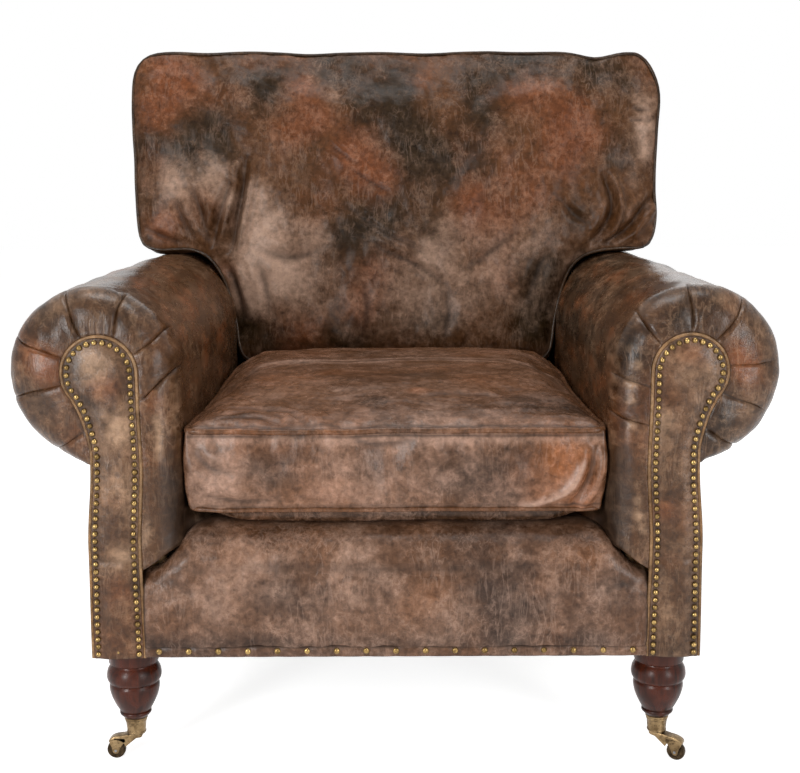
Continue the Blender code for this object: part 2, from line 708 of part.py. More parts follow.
def make_legs(label, side):
    """Turned front leg, tapered rear leg and their hanger bolts."""
    front = turned(label + "_front_leg", LEG_PROFILE, MAHOGANY, steps=16)
    front.location = (side * FRONT_LEG.x, FRONT_LEG.y, 0)
    bolt_hole(front, (side * FRONT_LEG.x, FRONT_LEG.y))
    cylinder(label + "_front_bolt", BOLT_R, BOLT_Z, (side * FRONT_LEG.x, FRONT_LEG.y), STEEL)
    bm = box_mesh((-1, -1, 0), (1, 1, BOTTOM_Z - GAP))
    for vert in bm.verts:
        high = vert.co.z > 0.05
        centre = REAR_LEG_TOP if high else REAR_LEG_FOOT
        half = 0.023 if high else 0.016
        vert.co = (side * centre.x + half * vert.co.x, centre.y + half * vert.co.y, vert.co.z)
    rear = add_mesh(label + "_rear_leg", bm, MAHOGANY)
    bolt_hole(rear, (side * REAR_LEG_TOP.x, REAR_LEG_TOP.y))
    cylinder(label + "_rear_bolt", BOLT_R, BOLT_Z, (side * REAR_LEG_TOP.x, REAR_LEG_TOP.y), STEEL)


def place_castor(made, label, side):
    """Put a piece drawn along local +X under its leg, turned to its trail."""
    made.location = (side * FRONT_LEG.x, FRONT_LEG.y, 0)
    made.rotation_euler.z = CASTOR_ANGLE[label]
    return made


def lying_cylinder(name, radius, half, sides, material, collection=chair):
    """A round bar along Y at the wheel's centre."""
    bm = bmesh.new()
    place = Matrix.Translation((TRAIL, 0, WHEEL_R)) @ Matrix.Rotation(math.pi / 2, 4, "X")
    bmesh.ops.create_cone(
        bm, cap_ends=True, segments=sides, radius1=radius, radius2=radius, depth=2 * half, matrix=place
    )
    return add_mesh(name, bm, material, smooth=True, collection=collection)


def make_castor(label, side):
    """Brass cup on the leg, and the horn, axle and wheel that swivel under it."""
    cup = turned(label + "_castor_cup", CUP_PROFILE, BRASS, steps=16, closed=True)
    cup.location = (side * FRONT_LEG.x, FRONT_LEG.y, 0)
    make_horn(label, side)
    cheek_outer = WHEEL_HALF + 0.0029
    axle = lying_cylinder(label + "_castor_axle", AXLE_R, cheek_outer + 0.001, 12, STEEL)
    place_castor(axle, label, side)
    profile = [
        (AXLE_R + 0.0004, WHEEL_HALF), (0.0065, WHEEL_HALF), (0.0098, WHEEL_HALF - 0.0008),
        (0.0112, WHEEL_HALF), (WHEEL_R, WHEEL_HALF - 0.0014),
    ]
    profile += [(r, -z) for r, z in reversed(profile)]
    wheel = turned(label + "_castor_wheel", profile, BRASS, steps=20, closed=True)
    centre = Vector((TRAIL, 0, WHEEL_R))
    turn = Matrix.Rotation(CASTOR_ANGLE[label], 4, "Z")
    leg = Vector((side * FRONT_LEG.x, FRONT_LEG.y, 0))
    wheel.matrix_world = Matrix.Translation(leg + turn @ centre) @ turn @ Matrix.Rotation(math.pi / 2, 4, "X")


def make_horn(label, side):
    """Pintle, swept horn and the two cheeks of the fork, joined."""
    inner = 0.0148
    arc = [(TRAIL + inner * math.cos(a), WHEEL_R + inner * math.sin(a)) for a in spaced(0.9, 2.75, 7)]
    crown_line = [(0.0, 0.0300), (-0.0085, 0.0325), (-0.0085, 0.0352), (0.0080, 0.0352), (0.0180, 0.0335)]
    crown_line += [(0.0290, 0.0320), (0.0370, 0.0270)]
    half = WHEEL_HALF + 0.0029
    horn = plate(label + "_castor_horn", arc + crown_line, 2 * half, BRASS)
    place_castor(horn, label, side)
    sweep = [(TRAIL + 0.0058 * math.cos(a), WHEEL_R + 0.0058 * math.sin(a)) for a in spaced(-3.0, 0.2, 9)]
    cheek_line = sweep + [(0.0352, 0.0262), (0.0290, 0.0300), (0.0150, 0.0300), (0.0120, 0.0230)]
    for name, y in (("near", -1), ("far", 1)):
        cheek = plate("%s_%s_cheek" % (label, name), cheek_line, 0.0021, BRASS, cutters)
        cheek.data.transform(Matrix.Translation((0, y * (half - 0.0011), 0)))
        place_castor(cheek, label, side)
        combine(horn, cheek, "UNION", name + " cheek")
    hole = lying_cylinder(label + "_axle_hole", AXLE_R + GAP, half + 0.01, 12, BRASS, cutters)
    place_castor(hole, label, side)
    combine(horn, hole, "DIFFERENCE", "axle hole")
    pin = cylinder(label + "_pintle", 0.0028, (0.033, 0.0424), (0, 0), BRASS, 12, cutters)
    head = cylinder(label + "_pintle_head", 0.0050, (CUP_BOTTOM_Z + 0.0034, 0.0420), (0, 0), BRASS, 12, cutters)
    for tool in (pin, head):
        place_castor(tool, label, side)
        combine(horn, tool, "UNION", tool.name)


make_frame()
make_springs()
make_platform()
make_front_border()
make_back()
make_seat_cushion()
make_back_cushion()
for side_label, side_sign in SIDES:
    make_arm(side_label, side_sign)
    make_legs(side_label, side_sign)
    make_castor(side_label, side_sign)
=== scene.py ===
"""The looks of a worn leather club chair.

Metres, +Z up. The chair faces -Y. Left is -X and right is +X, as seen from the front.
The shapes of an arm are drawn for the +X side and reflected for the other.
"""

import math

import bmesh
import bpy
import numpy as np
from mathutils import Matrix, Vector


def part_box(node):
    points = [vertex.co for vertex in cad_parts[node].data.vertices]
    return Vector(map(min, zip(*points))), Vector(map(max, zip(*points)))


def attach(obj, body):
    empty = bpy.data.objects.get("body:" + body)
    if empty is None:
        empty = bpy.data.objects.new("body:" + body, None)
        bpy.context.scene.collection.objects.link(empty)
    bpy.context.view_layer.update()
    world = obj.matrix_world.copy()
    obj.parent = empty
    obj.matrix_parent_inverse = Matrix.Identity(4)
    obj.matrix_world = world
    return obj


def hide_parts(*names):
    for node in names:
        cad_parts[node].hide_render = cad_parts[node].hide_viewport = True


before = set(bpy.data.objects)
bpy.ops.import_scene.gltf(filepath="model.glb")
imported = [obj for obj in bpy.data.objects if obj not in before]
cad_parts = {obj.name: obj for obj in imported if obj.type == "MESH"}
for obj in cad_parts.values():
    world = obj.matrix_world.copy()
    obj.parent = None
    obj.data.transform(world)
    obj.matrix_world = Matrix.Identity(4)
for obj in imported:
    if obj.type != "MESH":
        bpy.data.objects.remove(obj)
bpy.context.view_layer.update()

SIDES = (("left", -1), ("right", 1))


def corners(node):
    """Lowest and highest corner of a solid of the frame."""
    low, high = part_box(node)
    return Vector(low), Vector(high)


# Sizes that the solids give
COVER_LOW, COVER_HIGH = corners("right_arm_cover")
FACING_LOW, FACING_HIGH = corners("right_arm_facing")
BORDER_LOW, BORDER_HIGH = corners("front_border")
PANEL_LOW, PANEL_HIGH = corners("outside_back")
REST_LOW, REST_HIGH = corners("inside_back")
SEAT_LOW, SEAT_HIGH = corners("seat_cushion")
CUSHION_LOW, CUSHION_HIGH = corners("back_cushion")
LEG_LOW, LEG_HIGH = corners("right_front_leg")
DECK_TOP = corners("seat_deck")[1].z

BOTTOM_Z = PANEL_LOW.z
INNER_X = COVER_LOW.x
ROLL_R = (COVER_HIGH.x - COVER_LOW.x) / 2
ROLL_RISE = ROLL_R + 0.0035
ROLL_X = COVER_HIGH.x - ROLL_R
ROLL_Z = COVER_HIGH.z - ROLL_RISE
TUCK_Z = COVER_LOW.z - 0.0125
ROLL_END = math.radians(-84)
FRONT_DEPTH = 0.045                     # depth of the pleated rounding
FRONT_Y = COVER_LOW.y
SHOULDER_Y = FRONT_Y + FRONT_DEPTH

NAIL_RISE = 0.003
FACING_Y = FACING_LOW.y + NAIL_RISE
HEAD_R = 0.0465
HEAD_X = FACING_LOW.x + 0.0480
HEAD_Z = FACING_HIGH.z - HEAD_R
NECK_Z = HEAD_Z - 0.0972
NAIL_INSET = 0.0066
HEM_NAIL_H = 0.0085                     # height of the spaced nails above the bottom edge
KNEE_Z = 0.294                          # a fold across the keyhole panels
WAIST_X, WAIST_Z = 0.3845, 0.42         # where the chair is narrowest, under the rolls
SIDE_EDGE = [(0.31, 0.3915), (WAIST_Z, WAIST_X)]
SIDE_FOOT_X = 0.3930
PIPING_R = 0.0030

BACK_FOOT_Y = PANEL_LOW.y + 0.006
LEAN = (PANEL_HIGH.y - BACK_FOOT_Y) / (PANEL_HIGH.z - BOTTOM_Z)
REST_LEAN = 0.153
CLEAR = 0.0012                          # gap kept between pieces that lie side by side
HEM_H = 0.0150                          # height of the strip along the bottom
WALL = {"arm": 0.0024, "disc": 0.0020, "facing": 0.0095, "side": 0.0030, "border": 0.0030,
        "hem": 0.0016, "back": 0.0045, "lining": 0.0004}


def back_y(z, depth=0.0):
    """Y of a point at height z that lies this deep inside the outer back."""
    return BACK_FOOT_Y + LEAN * (z - BOTTOM_Z) - depth


def rest_y(z):
    """Y of the fixed back's front, which the back cushion leans on."""
    return REST_LOW.y + REST_LEAN * (z - REST_LOW.z)


def smooth(value, low=0.0, high=1.0):
    """0 below low, 1 above high and an even ease between them."""
    t = np.clip((np.asarray(value, dtype=float) - low) / (high - low), 0.0, 1.0)
    return t * t * (3 - 2 * t)


def falling(value, low, high):
    """1 below low, 0 above high and an even ease between them."""
    return 1 - smooth(value, low, high)


def hill(gap, width):
    """1 where the gap is 0, falling away evenly on both sides."""
    return np.exp(-(gap / width) ** 2)


def xyz(x, y, z):
    """Points from three coordinates, each an array or one number for all."""
    return np.stack(np.broadcast_arrays(x, y, z), axis=1)


def eased(stations, value):
    """Smooth curve through a few (position, result) stations."""
    value = np.asarray(value, dtype=float)
    result = np.full(value.shape, stations[0][1], dtype=float)
    for (a, low), (b, high) in zip(stations, stations[1:]):
        result = result + (high - low) * smooth(value, a, b)
    return result


# ---------------------------------------------------------------- meshes

def linked(name, data):
    """A new object in the scene, holding a mesh, a lamp or a camera."""
    made = bpy.data.objects.new(name, data)
    bpy.context.scene.collection.objects.link(made)
    return made


def new_piece(name, points, faces, flip=False):
    """A smooth shaded mesh object from points and faces."""
    mesh = bpy.data.meshes.new(name)
    if flip:
        faces = [tuple(reversed(face)) for face in faces]
    mesh.from_pydata([tuple(p) for p in points], [], [tuple(f) for f in faces])
    mesh.update()
    mesh.shade_smooth()
    return linked(name, mesh)


def from_bmesh(name, bm):
    """A smooth shaded mesh object from a finished bmesh, which is freed."""
    mesh = bpy.data.meshes.new(name)
    bm.to_mesh(mesh)
    bm.free()
    mesh.shade_smooth()
    return linked(name, mesh)


def grid_faces(rows, columns, wrap=False, start=0):
    """Quads of a grid of rows by columns; wrap joins the last column to the first."""
    faces = []
    last = columns if wrap else columns - 1
    for r in range(rows - 1):
        for c in range(last):
            d = (c + 1) % columns
            faces.append((start + r * columns + c, start + r * columns + d,
                          start + (r + 1) * columns + d, start + (r + 1) * columns + c))
    return faces


def set_marks(made, **marks):
    """Write named values, one for each point, for the leather to read."""
    for name, values in marks.items():
        layer = made.data.attributes.get(name)
        if layer is None:
            layer = made.data.attributes.new(name, "FLOAT", "POINT")
        layer.data.foreach_set("value", np.asarray(values, dtype=np.float32).ravel())


def get_points(made):
    """Places of all points, as an array."""
    found = np.empty(len(made.data.vertices) * 3)
    made.data.vertices.foreach_get("co", found)
    return found.reshape(-1, 3)


def set_points(made, points):
    """Move all points."""
    made.data.vertices.foreach_set("co", np.asarray(points, dtype=np.float32).ravel())
    made.data.update()


def get_normals(made):
    """Normals of all points, as an array."""
    found = np.empty(len(made.data.vertices) * 3)
    made.data.vertex_normals.foreach_get("vector", found)
    return found.reshape(-1, 3)


def bake(made):
    """Turn an object's modifiers into its mesh."""
    bpy.context.view_layer.update()
    evaluated = made.evaluated_get(bpy.context.evaluated_depsgraph_get())
    mesh = bpy.data.meshes.new_from_object(evaluated, preserve_all_data_layers=True,
                                           depsgraph=bpy.context.evaluated_depsgraph_get())
    old = made.data
    made.modifiers.clear()
    made.data = mesh
    mesh.name = made.name
    if old.users == 0 and isinstance(old, bpy.types.Mesh):
        bpy.data.meshes.remove(old)
    made.data.shade_smooth()
    return made


def thicken(made, thickness):
    """Give a sheet its wall, on the side away from its faces."""
    wall = made.modifiers.new("wall", "SOLIDIFY")
    wall.thickness = thickness
    wall.offset = -1.0
    return bake(made)


def subdivide(made, levels):
    """Smooth a mesh by subdivision."""
    finer = made.modifiers.new("finer", "SUBSURF")
    finer.levels = levels
    finer.render_levels = levels
    return bake(made)


def outward(made, merge=True):
    """Point every face of a closed mesh out; merge joins points that meet first."""
    bm = bmesh.new()
    bm.from_mesh(made.data)
    if merge:
        bmesh.ops.remove_doubles(bm, verts=bm.verts, dist=0.00002)
        bmesh.ops.dissolve_degenerate(bm, edges=bm.edges, dist=0.00001)
    bmesh.ops.recalc_face_normals(bm, faces=bm.faces)
    bm.to_mesh(made.data)
    bm.free()
    made.data.shade_smooth()
    return made


def face_along(made, axis, sign):
    """Turn an open sheet to face along an axis, 0 for X and 1 for Y, on the side of the sign."""
    if get_normals(made)[:, axis].mean() * sign < 0:
        made.data.flip_normals()


def sharpen(made, degrees):
    """Keep true corners crisp."""
    made.data.set_sharp_from_angle(angle=math.radians(degrees))
    return made


def waves(points, size, seed, octaves=3):
    """Smooth pseudo-random field from -1 to 1 over an array of points; size is its grain."""
    dice = np.random.default_rng(seed)
    total = np.zeros(len(points))
    weight = 0.0
    for octave in range(octaves):
        scale = 2 * math.pi / (size / 1.9 ** octave)
        share = 0.55 ** octave
        for _ in range(4):
            heading = dice.normal(size=3)
            heading /= np.linalg.norm(heading)
            phase = dice.uniform(0, 2 * math.pi)
            bend = dice.normal(size=3) * scale * 0.45
            inner = np.sin(points @ bend + phase * 1.7)
            total += share * np.sin(points @ heading * scale + phase + 1.1 * inner)
            weight += share
    return total / weight * 2.0


def along_line(points, line):
    """Distance of (n, 2) points from a polyline, how far along it, from 0 to 1, and on which side."""
    line = np.asarray(line, dtype=float)
    best = np.full(len(points), 1e9)
    where = np.zeros(len(points))
    side = np.zeros(len(points))
    steps = np.linalg.norm(np.diff(line, axis=0), axis=1)
    total = steps.sum()
    run = 0.0
    for a, b, step in zip(line, line[1:], steps):
        along = np.clip(((points - a) @ (b - a)) / step ** 2, 0, 1)
        foot = a + along[:, None] * (b - a)
        gap = np.linalg.norm(points - foot, axis=1)
        closer = gap < best
        cross = (b - a)[0] * (points - a)[:, 1] - (b - a)[1] * (points - a)[:, 0]
        best = np.where(closer, gap, best)
        side = np.where(closer, np.sign(cross), side)
        where = np.where(closer, (run + along * step) / total, where)
        run += step
    return best, where, side


def curve_through(points, count):
    """Evenly spaced points on a smooth curve through a few given ones."""
    points = [np.asarray(p, dtype=float) for p in points]
    ends = [2 * points[0] - points[1]] + points + [2 * points[-1] - points[-2]]
    dense = []
    for a, b, c, d in zip(ends, ends[1:], ends[2:], ends[3:]):
        for t in np.linspace(0, 1, 24, endpoint=False):
            dense.append(0.5 * (2 * b + (c - a) * t + (2 * a - 5 * b + 4 * c - d) * t ** 2
                                + (3 * b - a - 3 * c + d) * t ** 3))
    dense.append(points[-1])
    return evenly(np.array(dense), count)


def evenly(line, count):
    """A polyline read at evenly spaced places."""
    line = np.asarray(line, dtype=float)
    steps = np.linalg.norm(np.diff(line, axis=0), axis=1)
    run = np.concatenate([[0.0], np.cumsum(steps)])
    wanted = np.linspace(0, run[-1], count)
    return np.stack([np.interp(wanted, run, line[:, k]) for k in range(line.shape[1])], axis=1)


# ---------------------------------------------------------------- node helpers

class Nodes:
    """A short way to write a node tree."""

    def __init__(self, tree):
        self.tree = tree

    def add(self, kind, settings=None, **inputs):
        """A node with its settings; inputs are values or the sockets of other nodes."""
        node = self.tree.nodes.new(kind)
        for key, value in (settings or {}).items():
            setattr(node, key, value)
        for key, value in inputs.items():
            socket = node.inputs[int(key[1:]) if key[0] == "i" and key[1:].isdigit() else key.replace("_", " ")]
            if isinstance(value, bpy.types.NodeSocket):
                self.tree.links.new(value, socket)
            else:
                socket.default_value = value
        return node

    def math(self, operation, first, second=0.0, clamp=False):
        """One sum."""
        node = self.add("ShaderNodeMath", {"operation": operation, "use_clamp": clamp}, i0=first, i1=second)
        return node.outputs[0]

    def ramp(self, value, low, high, start=0.0, end=1.0):
        """A value spread from low..high to start..end, clamped."""
        node = self.add("ShaderNodeMapRange", {"interpolation_type": "SMOOTHSTEP"}, Value=value)
        for key, number in (("From Min", low), ("From Max", high), ("To Min", start), ("To Max", end)):
            node.inputs[key].default_value = number
        return node.outputs[0]

    def blend(self, amount, under, over):
        """Two colours mixed."""
        node = self.add("ShaderNodeMix", {"data_type": "RGBA"})
        for key, value in ((0, amount), (6, under), (7, over)):
            if isinstance(value, bpy.types.NodeSocket):
                self.tree.links.new(value, node.inputs[key])
            else:
                node.inputs[key].default_value = value
        return node.outputs[2]

    def noise(self, place, size, detail=4.0, rough=0.55, twist=0.0):
        """Noise whose grain is about size metres."""
        node = self.add("ShaderNodeTexNoise", None, Vector=place, Scale=0.45 / size, Detail=detail,
                        Roughness=rough, Distortion=twist)
        return node.outputs["Fac"]

    def cells(self, place, size):
        """Cells about size metres across, 0 in their middles."""
        return self.add("ShaderNodeTexVoronoi", None, Vector=place, Scale=1.0 / size).outputs["Distance"]

    def place(self):
        """Where a point lies on the piece."""
        return self.add("ShaderNodeTexCoord").outputs["Object"]

    def mapped(self, place, **change):
        """A place that is moved, turned or stretched."""
        return self.add("ShaderNodeMapping", None, Vector=place, **change).outputs[0]

    def vein(self, field, width):
        """Thin winding lines where a field passes its middle value."""
        gap = self.math("ABSOLUTE", self.math("SUBTRACT", field, 0.5))
        return self.ramp(gap, 0.0, width, 1.0, 0.0)

    def total(self, *parts, start=0.0):
        """A weighted sum of fields."""
        result = start
        for weight, field in parts:
            node = self.add("ShaderNodeMath", {"operation": "MULTIPLY_ADD"}, i0=field, i1=weight, i2=result)
            result = node.outputs[0]
        return result

    def mark(self, name):
        """A named value that the piece carries."""
        return self.add("ShaderNodeAttribute", {"attribute_name": name}).outputs["Fac"]


def colour(text):
    """A linear colour from a hex sRGB one."""
    found = []
    for k in (0, 2, 4):
        c = int(text[k:k + 2], 16) / 255
        found.append(c / 12.92 if c <= 0.04045 else ((c + 0.055) / 1.055) ** 2.4)
    return (*found, 1.0)


def new_finish(name, roughness, metallic=0.0, specular=0.5):
    """A material with its shader and a node writer."""
    made = bpy.data.materials.new(name)
    made.use_nodes = True
    shader = made.node_tree.nodes["Principled BSDF"]
    shader.inputs["Roughness"].default_value = roughness
    shader.inputs["Metallic"].default_value = metallic
    shader.inputs["Specular IOR Level"].default_value = specular
    write = Nodes(made.node_tree)
    return made, shader, write


def plug(write, shader, tone, rough=None, height=None, strength=0.5, depth=0.001):
    """Link a finish's colour, roughness and relief to its shader."""
    sources = {"Base Color": tone, "Roughness": rough}
    if height is not None:
        relief = write.add("ShaderNodeBump", None, Height=height, Strength=strength, Distance=depth)
        sources["Normal"] = relief.outputs[0]
    for name, source in sources.items():
        if source is not None:
            write.tree.links.new(source, shader.inputs[name])


PIT_TONE = "1a110c"
# dark colour of the painted shade in creases, recesses and gaps
PAINTED_SHADE_TONE = "120b07"
SECOND_PLACE = 3.7                      # how far off the leather's second set of patterns is read


def dyed(write, place, other, mottle, blotch, tones, smoky, rusty):
    """The leather's colour, with dark smoke and painted shade over it and then rust."""
    dark, base, rust = [colour(text) for text in tones]
    smoke = write.total((0.55, write.noise(place, 0.11, 2.0, 0.5, 0.6)),
                        (0.35, write.noise(other, 0.045, 3.0, 0.5, 0.6)),
                        (0.22, mottle), (0.36, write.mark("smoke")), start=smoky)
    warm = write.total((0.50, write.noise(other, 0.090, 2.0, 0.5, 0.6)),
                       (0.35, write.noise(place, 0.038, 3.0, 0.5, 0.6)),
                       (0.28, blotch), (0.38, write.mark("rust")), start=rusty)
    tone = write.blend(write.ramp(smoke, 0.50, 0.86), base, dark)
    return write.blend(write.ramp(warm, 0.54, 0.98, 0.0, 0.92), tone, rust)


def split_lines(write, place, other):
    """Soft veins where the finish has split, and slanting scuffs: 1 on a line and 0 off it."""
    veins = write.math("MAXIMUM", write.vein(write.noise(place, 0.011, 3.0, 0.54, 0.3), 0.026),
                       write.vein(write.noise(other, 0.0052, 3.0, 0.54, 0.3), 0.045))
    patchy = write.ramp(write.noise(other, 0.014, 3.0, 0.6, 0.4), 0.40, 0.70)
    veins = write.math("MULTIPLY", veins, patchy)
    for turn, scuffed in ((-0.7, place), (0.5, other)):
        slanted = write.mapped(scuffed, Rotation=(0.3, turn, 0.0), Scale=(1.0, 1.0, 0.22))
        scuff = write.vein(write.noise(slanted, 0.0050, 3.0, 0.55, 0.6), 0.060)
        somewhere = write.ramp(write.noise(scuffed, 0.030, 2.0, 0.5, 0.3), 0.42, 0.66)
        veins = write.math("MAXIMUM", veins, write.math("MULTIPLY", scuff, somewhere))
    return veins


def leather(name, shift, dark, base, rust, tan, smoky=0.0, rusty=0.0, rubbed=0.0, cracked=0.14,
            gloss=0.20, polish=0.17, uneven=1.0, length=1.0):
    """Pull-up leather: dark smoke, rust patches, rubbed tan with painted sheen, soft veins, and painted shade in
    creases and recesses.
    """
    made, shader, write = new_finish(name, 0.30, specular=gloss)
    along = (1.0, 1.0 / length, 1.0)
    place = write.mapped(write.place(), Location=shift, Scale=along)
    other = write.mapped(write.place(), Location=[v + SECOND_PLACE for v in shift], Scale=along)
    mottle = write.noise(place, 0.022, 3.0, 0.50, 0.3)
    blotch = write.noise(other, 0.014, 3.0, 0.55, 0.4)
    grit = write.noise(place, 0.0040, 4.0, 0.60, 0.3)
    tone = dyed(write, place, other, mottle, blotch, (dark, base, rust), smoky, rusty)
    # rubbed pale on the high places, with painted highlights and sheen, and along the split lines
    rub = write.total((0.36, blotch), (0.12, grit), (0.34, write.noise(place, 0.060, 3.0, 0.5, 0.6)),
                      (0.40, write.mark("rub")), start=rubbed + 0.05)
    pale_wear_and_sheen = write.ramp(rub, 0.44, 1.00, 0.0, 0.86)
    veins = split_lines(write, place, other)
    tone = write.blend(pale_wear_and_sheen, tone, colour(tan))
    tone = write.blend(write.math("MULTIPLY", veins, cracked), tone, colour(tan))
    # light and dark mottling with pits, weaker where the pale wear and painted sheen lie, and painted shade in
    # creases and recesses
    shade = write.total((0.70 * uneven, mottle), (1.90, grit), (0.60 * uneven, blotch),
                        start=0.05 - 0.65 * uneven)
    pits = write.ramp(write.noise(other, 0.0018, 3.0, 0.6), 0.54, 0.74, 0.0, 0.35)
    mottled = write.add("ShaderNodeHueSaturation", None, Value=shade, Color=tone).outputs[0]
    mottled = write.blend(pits, mottled, colour(PIT_TONE))
    tone = write.blend(write.math("MULTIPLY", pale_wear_and_sheen, 0.5), mottled, tone)
    crease = write.mark("crease")
    tone = write.blend(write.math("MULTIPLY", crease, 0.85, clamp=True), tone, colour(PAINTED_SHADE_TONE))
    rough = write.total((0.10, mottle), (0.08, grit), (0.25, crease), start=polish)
    height = write.total((0.20, write.cells(place, 0.0011)), (0.9, grit), (-0.2, veins), (0.6, mottle))
    plug(write, shader, tone, rough, height, 0.5, 0.0010)
    return made


def brass(name, light, deep, dull, roughness):
    """Antique brass, darker in its hollows."""
    made, shader, write = new_finish(name, roughness, 1.0)
    place = write.place()
    patina = write.noise(place, 0.006, 5.0, 0.65, 0.4)
    spots = write.noise(place, 0.0015, 3.0, 0.6)
    tone = write.blend(write.ramp(patina, 0.38, 0.68), colour(light), colour(deep))
    tone = write.blend(write.ramp(spots, 0.52, 0.72, 0.0, 0.7), tone, colour(dull))
    rough = write.ramp(patina, 0.3, 0.7, roughness - 0.10, roughness + 0.16)
    plug(write, shader, tone, rough, spots, 0.35, 0.0003)
    return made


def timber(name, light, deep, roughness, grain=0.004, coat=0.0):
    """Wood whose grain runs along Z."""
    made, shader, write = new_finish(name, roughness, specular=0.2)
    place = write.place()
    bands = write.noise(write.mapped(place, Scale=(1.0, 1.0, 0.12)), grain, 5.0, 0.62, 0.8)
    cloud = write.noise(place, 0.03, 3.0, 0.5)
    tone = write.blend(write.ramp(bands, 0.35, 0.68), colour(light), colour(deep))
    tone = write.blend(write.ramp(cloud, 0.4, 0.7, 0.0, 0.35), tone, colour(deep))
    rough = write.ramp(bands, 0.3, 0.7, roughness - 0.06, roughness + 0.10)
    plug(write, shader, tone, rough, bands, 0.25, 0.0003)
    shader.inputs["Coat Weight"].default_value = coat
    shader.inputs["Coat Roughness"].default_value = 0.22
    return made


def cloth(name, light, deep, pitch):
    """Plain woven cloth; pitch is the width of a thread."""
    made, shader, write = new_finish(name, 0.9, specular=0.2)
    place = write.place()
    warp, weft = [write.add("ShaderNodeTexWave", {"bands_direction": axis}, Vector=place, Scale=0.5 / pitch,
                            Distortion=0.6).outputs["Fac"] for axis in "XY"]
    weave = write.math("MAXIMUM", warp, weft)
    cloud = write.noise(place, 0.02, 4.0, 0.6)
    tone = write.blend(write.ramp(weave, 0.2, 1.0), colour(deep), colour(light))
    tone = write.blend(write.ramp(cloud, 0.4, 0.7, 0.0, 0.35), tone, colour(deep))
    plug(write, shader, tone, None, weave, 0.5, pitch * 0.4)
    return made


def steel(name, light, deep):
    """Drawn steel wire and bolts."""
    made, shader, write = new_finish(name, 0.35, 1.0)
    cloud = write.noise(write.place(), 0.01, 4.0, 0.6)
    tone = write.blend(write.ramp(cloud, 0.4, 0.7), colour(light), colour(deep))
    plug(write, shader, tone, write.ramp(cloud, 0.3, 0.7, 0.28, 0.45))
    return made


FINISH = {
    "arm": leather("arm_leather", (0, 0, 0), "1e1309", "462c18", "6b3b1d", "a18268", cracked=0.22,
                   gloss=0.24, polish=0.18, uneven=1.15, length=2.4),
    "back": leather("back_leather", (2.3, 0.4, 5.1), "251809", "4c301b", "663a22", "a58875", cracked=0.16,
                    gloss=0.11, polish=0.20),
    "seat": leather("seat_leather", (4.2, 1.9, 0.3), "301e10", "5e3d26", "7f4b28", "b08f7d", rubbed=0.03,
                    uneven=0.7),
    "border": leather("border_leather", (6.4, 2.2, 8.1), "33231a", "593c29", "70472a", "a58877", rubbed=0.08,
                      cracked=0.24, uneven=0.75),
    "outside": leather("outside_leather", (1.7, 8.8, 2.6), "231708", "4c321c", "6b4020", "977861", smoky=0.08,
                       rusty=0.12, rubbed=0.05, gloss=0.30, polish=0.14),
    "piping": leather("piping_leather", (5.0, 0.0, 5.0), "140d07", "2c1d10", "452c17", "7a604b"),
    "tan_piping": leather("tan_piping", (9.0, 3.0, 1.0), "3a2918", "745536", "84592f", "b39674", rubbed=0.08),
    "nail": brass("nail_brass", "9c8152", "5c4829", "20170c", 0.28),
    "wheel": brass("wheel_brass", "4a3d2d", "2a2118", "130d08", 0.40),
    "castor": brass("castor_brass", "8e7757", "5c4a33", "2b2217", 0.34),
    "mahogany": timber("mahogany", "4c2112", "200c06", 0.30, 0.006),
    "rear_wood": timber("rear_mahogany", "4c2017", "280f0b", 0.38, 0.006, coat=0.2),
    "hardwood": timber("frame_hardwood", "b4916a", "8a6b4a", 0.75),
    "padding": cloth("felt_padding", "cfc5ad", "a89d86", 0.004),
    "lining": cloth("black_lining", "2b2a29", "151414", 0.0012),
    "steel": steel("spring_steel", "8c8c8e", "5c5c60"),
}


def settle(made, finish, body="chair", nodes=()):
    """Give a finished piece its material and body, and hide the solids it stands for."""
    made.data.materials.clear()
    made.data.materials.append(FINISH[finish])
    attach(made, body)
    if nodes:
        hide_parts(*nodes)


# ---------------------------------------------------------------- repeated small pieces

def new_tree(name, sizes):
    """A geometry tree with named size inputs, its writer, its input and its output."""
    tree = bpy.data.node_groups.new(name, "GeometryNodeTree")
    tree.interface.new_socket(name="Geometry", in_out="INPUT", socket_type="NodeSocketGeometry")
    for label, value in sizes.items():
        kind = "NodeSocketInt" if isinstance(value, int) else "NodeSocketFloat"
        socket = tree.interface.new_socket(name=label, in_out="INPUT", socket_type=kind)
        socket.default_value = value
    tree.interface.new_socket(name="Material", in_out="INPUT", socket_type="NodeSocketMaterial")
    tree.interface.new_socket(name="Geometry", in_out="OUTPUT", socket_type="NodeSocketGeometry")
    write = Nodes(tree)
    return tree, write, write.add("NodeGroupInput"), write.add("NodeGroupOutput")


def close_tree(tree, write, shape, given, out):
    """Realize, shade and colour the result."""
    real = write.add("GeometryNodeRealizeInstances", None, Geometry=shape)
    soft = write.add("GeometryNodeSetShadeSmooth", None, Geometry=real.outputs[0])
    dressed = write.add("GeometryNodeSetMaterial", None, Geometry=soft.outputs[0],
                        Material=given.outputs["Material"])
    tree.links.new(dressed.outputs[0], out.inputs[0])
    return tree


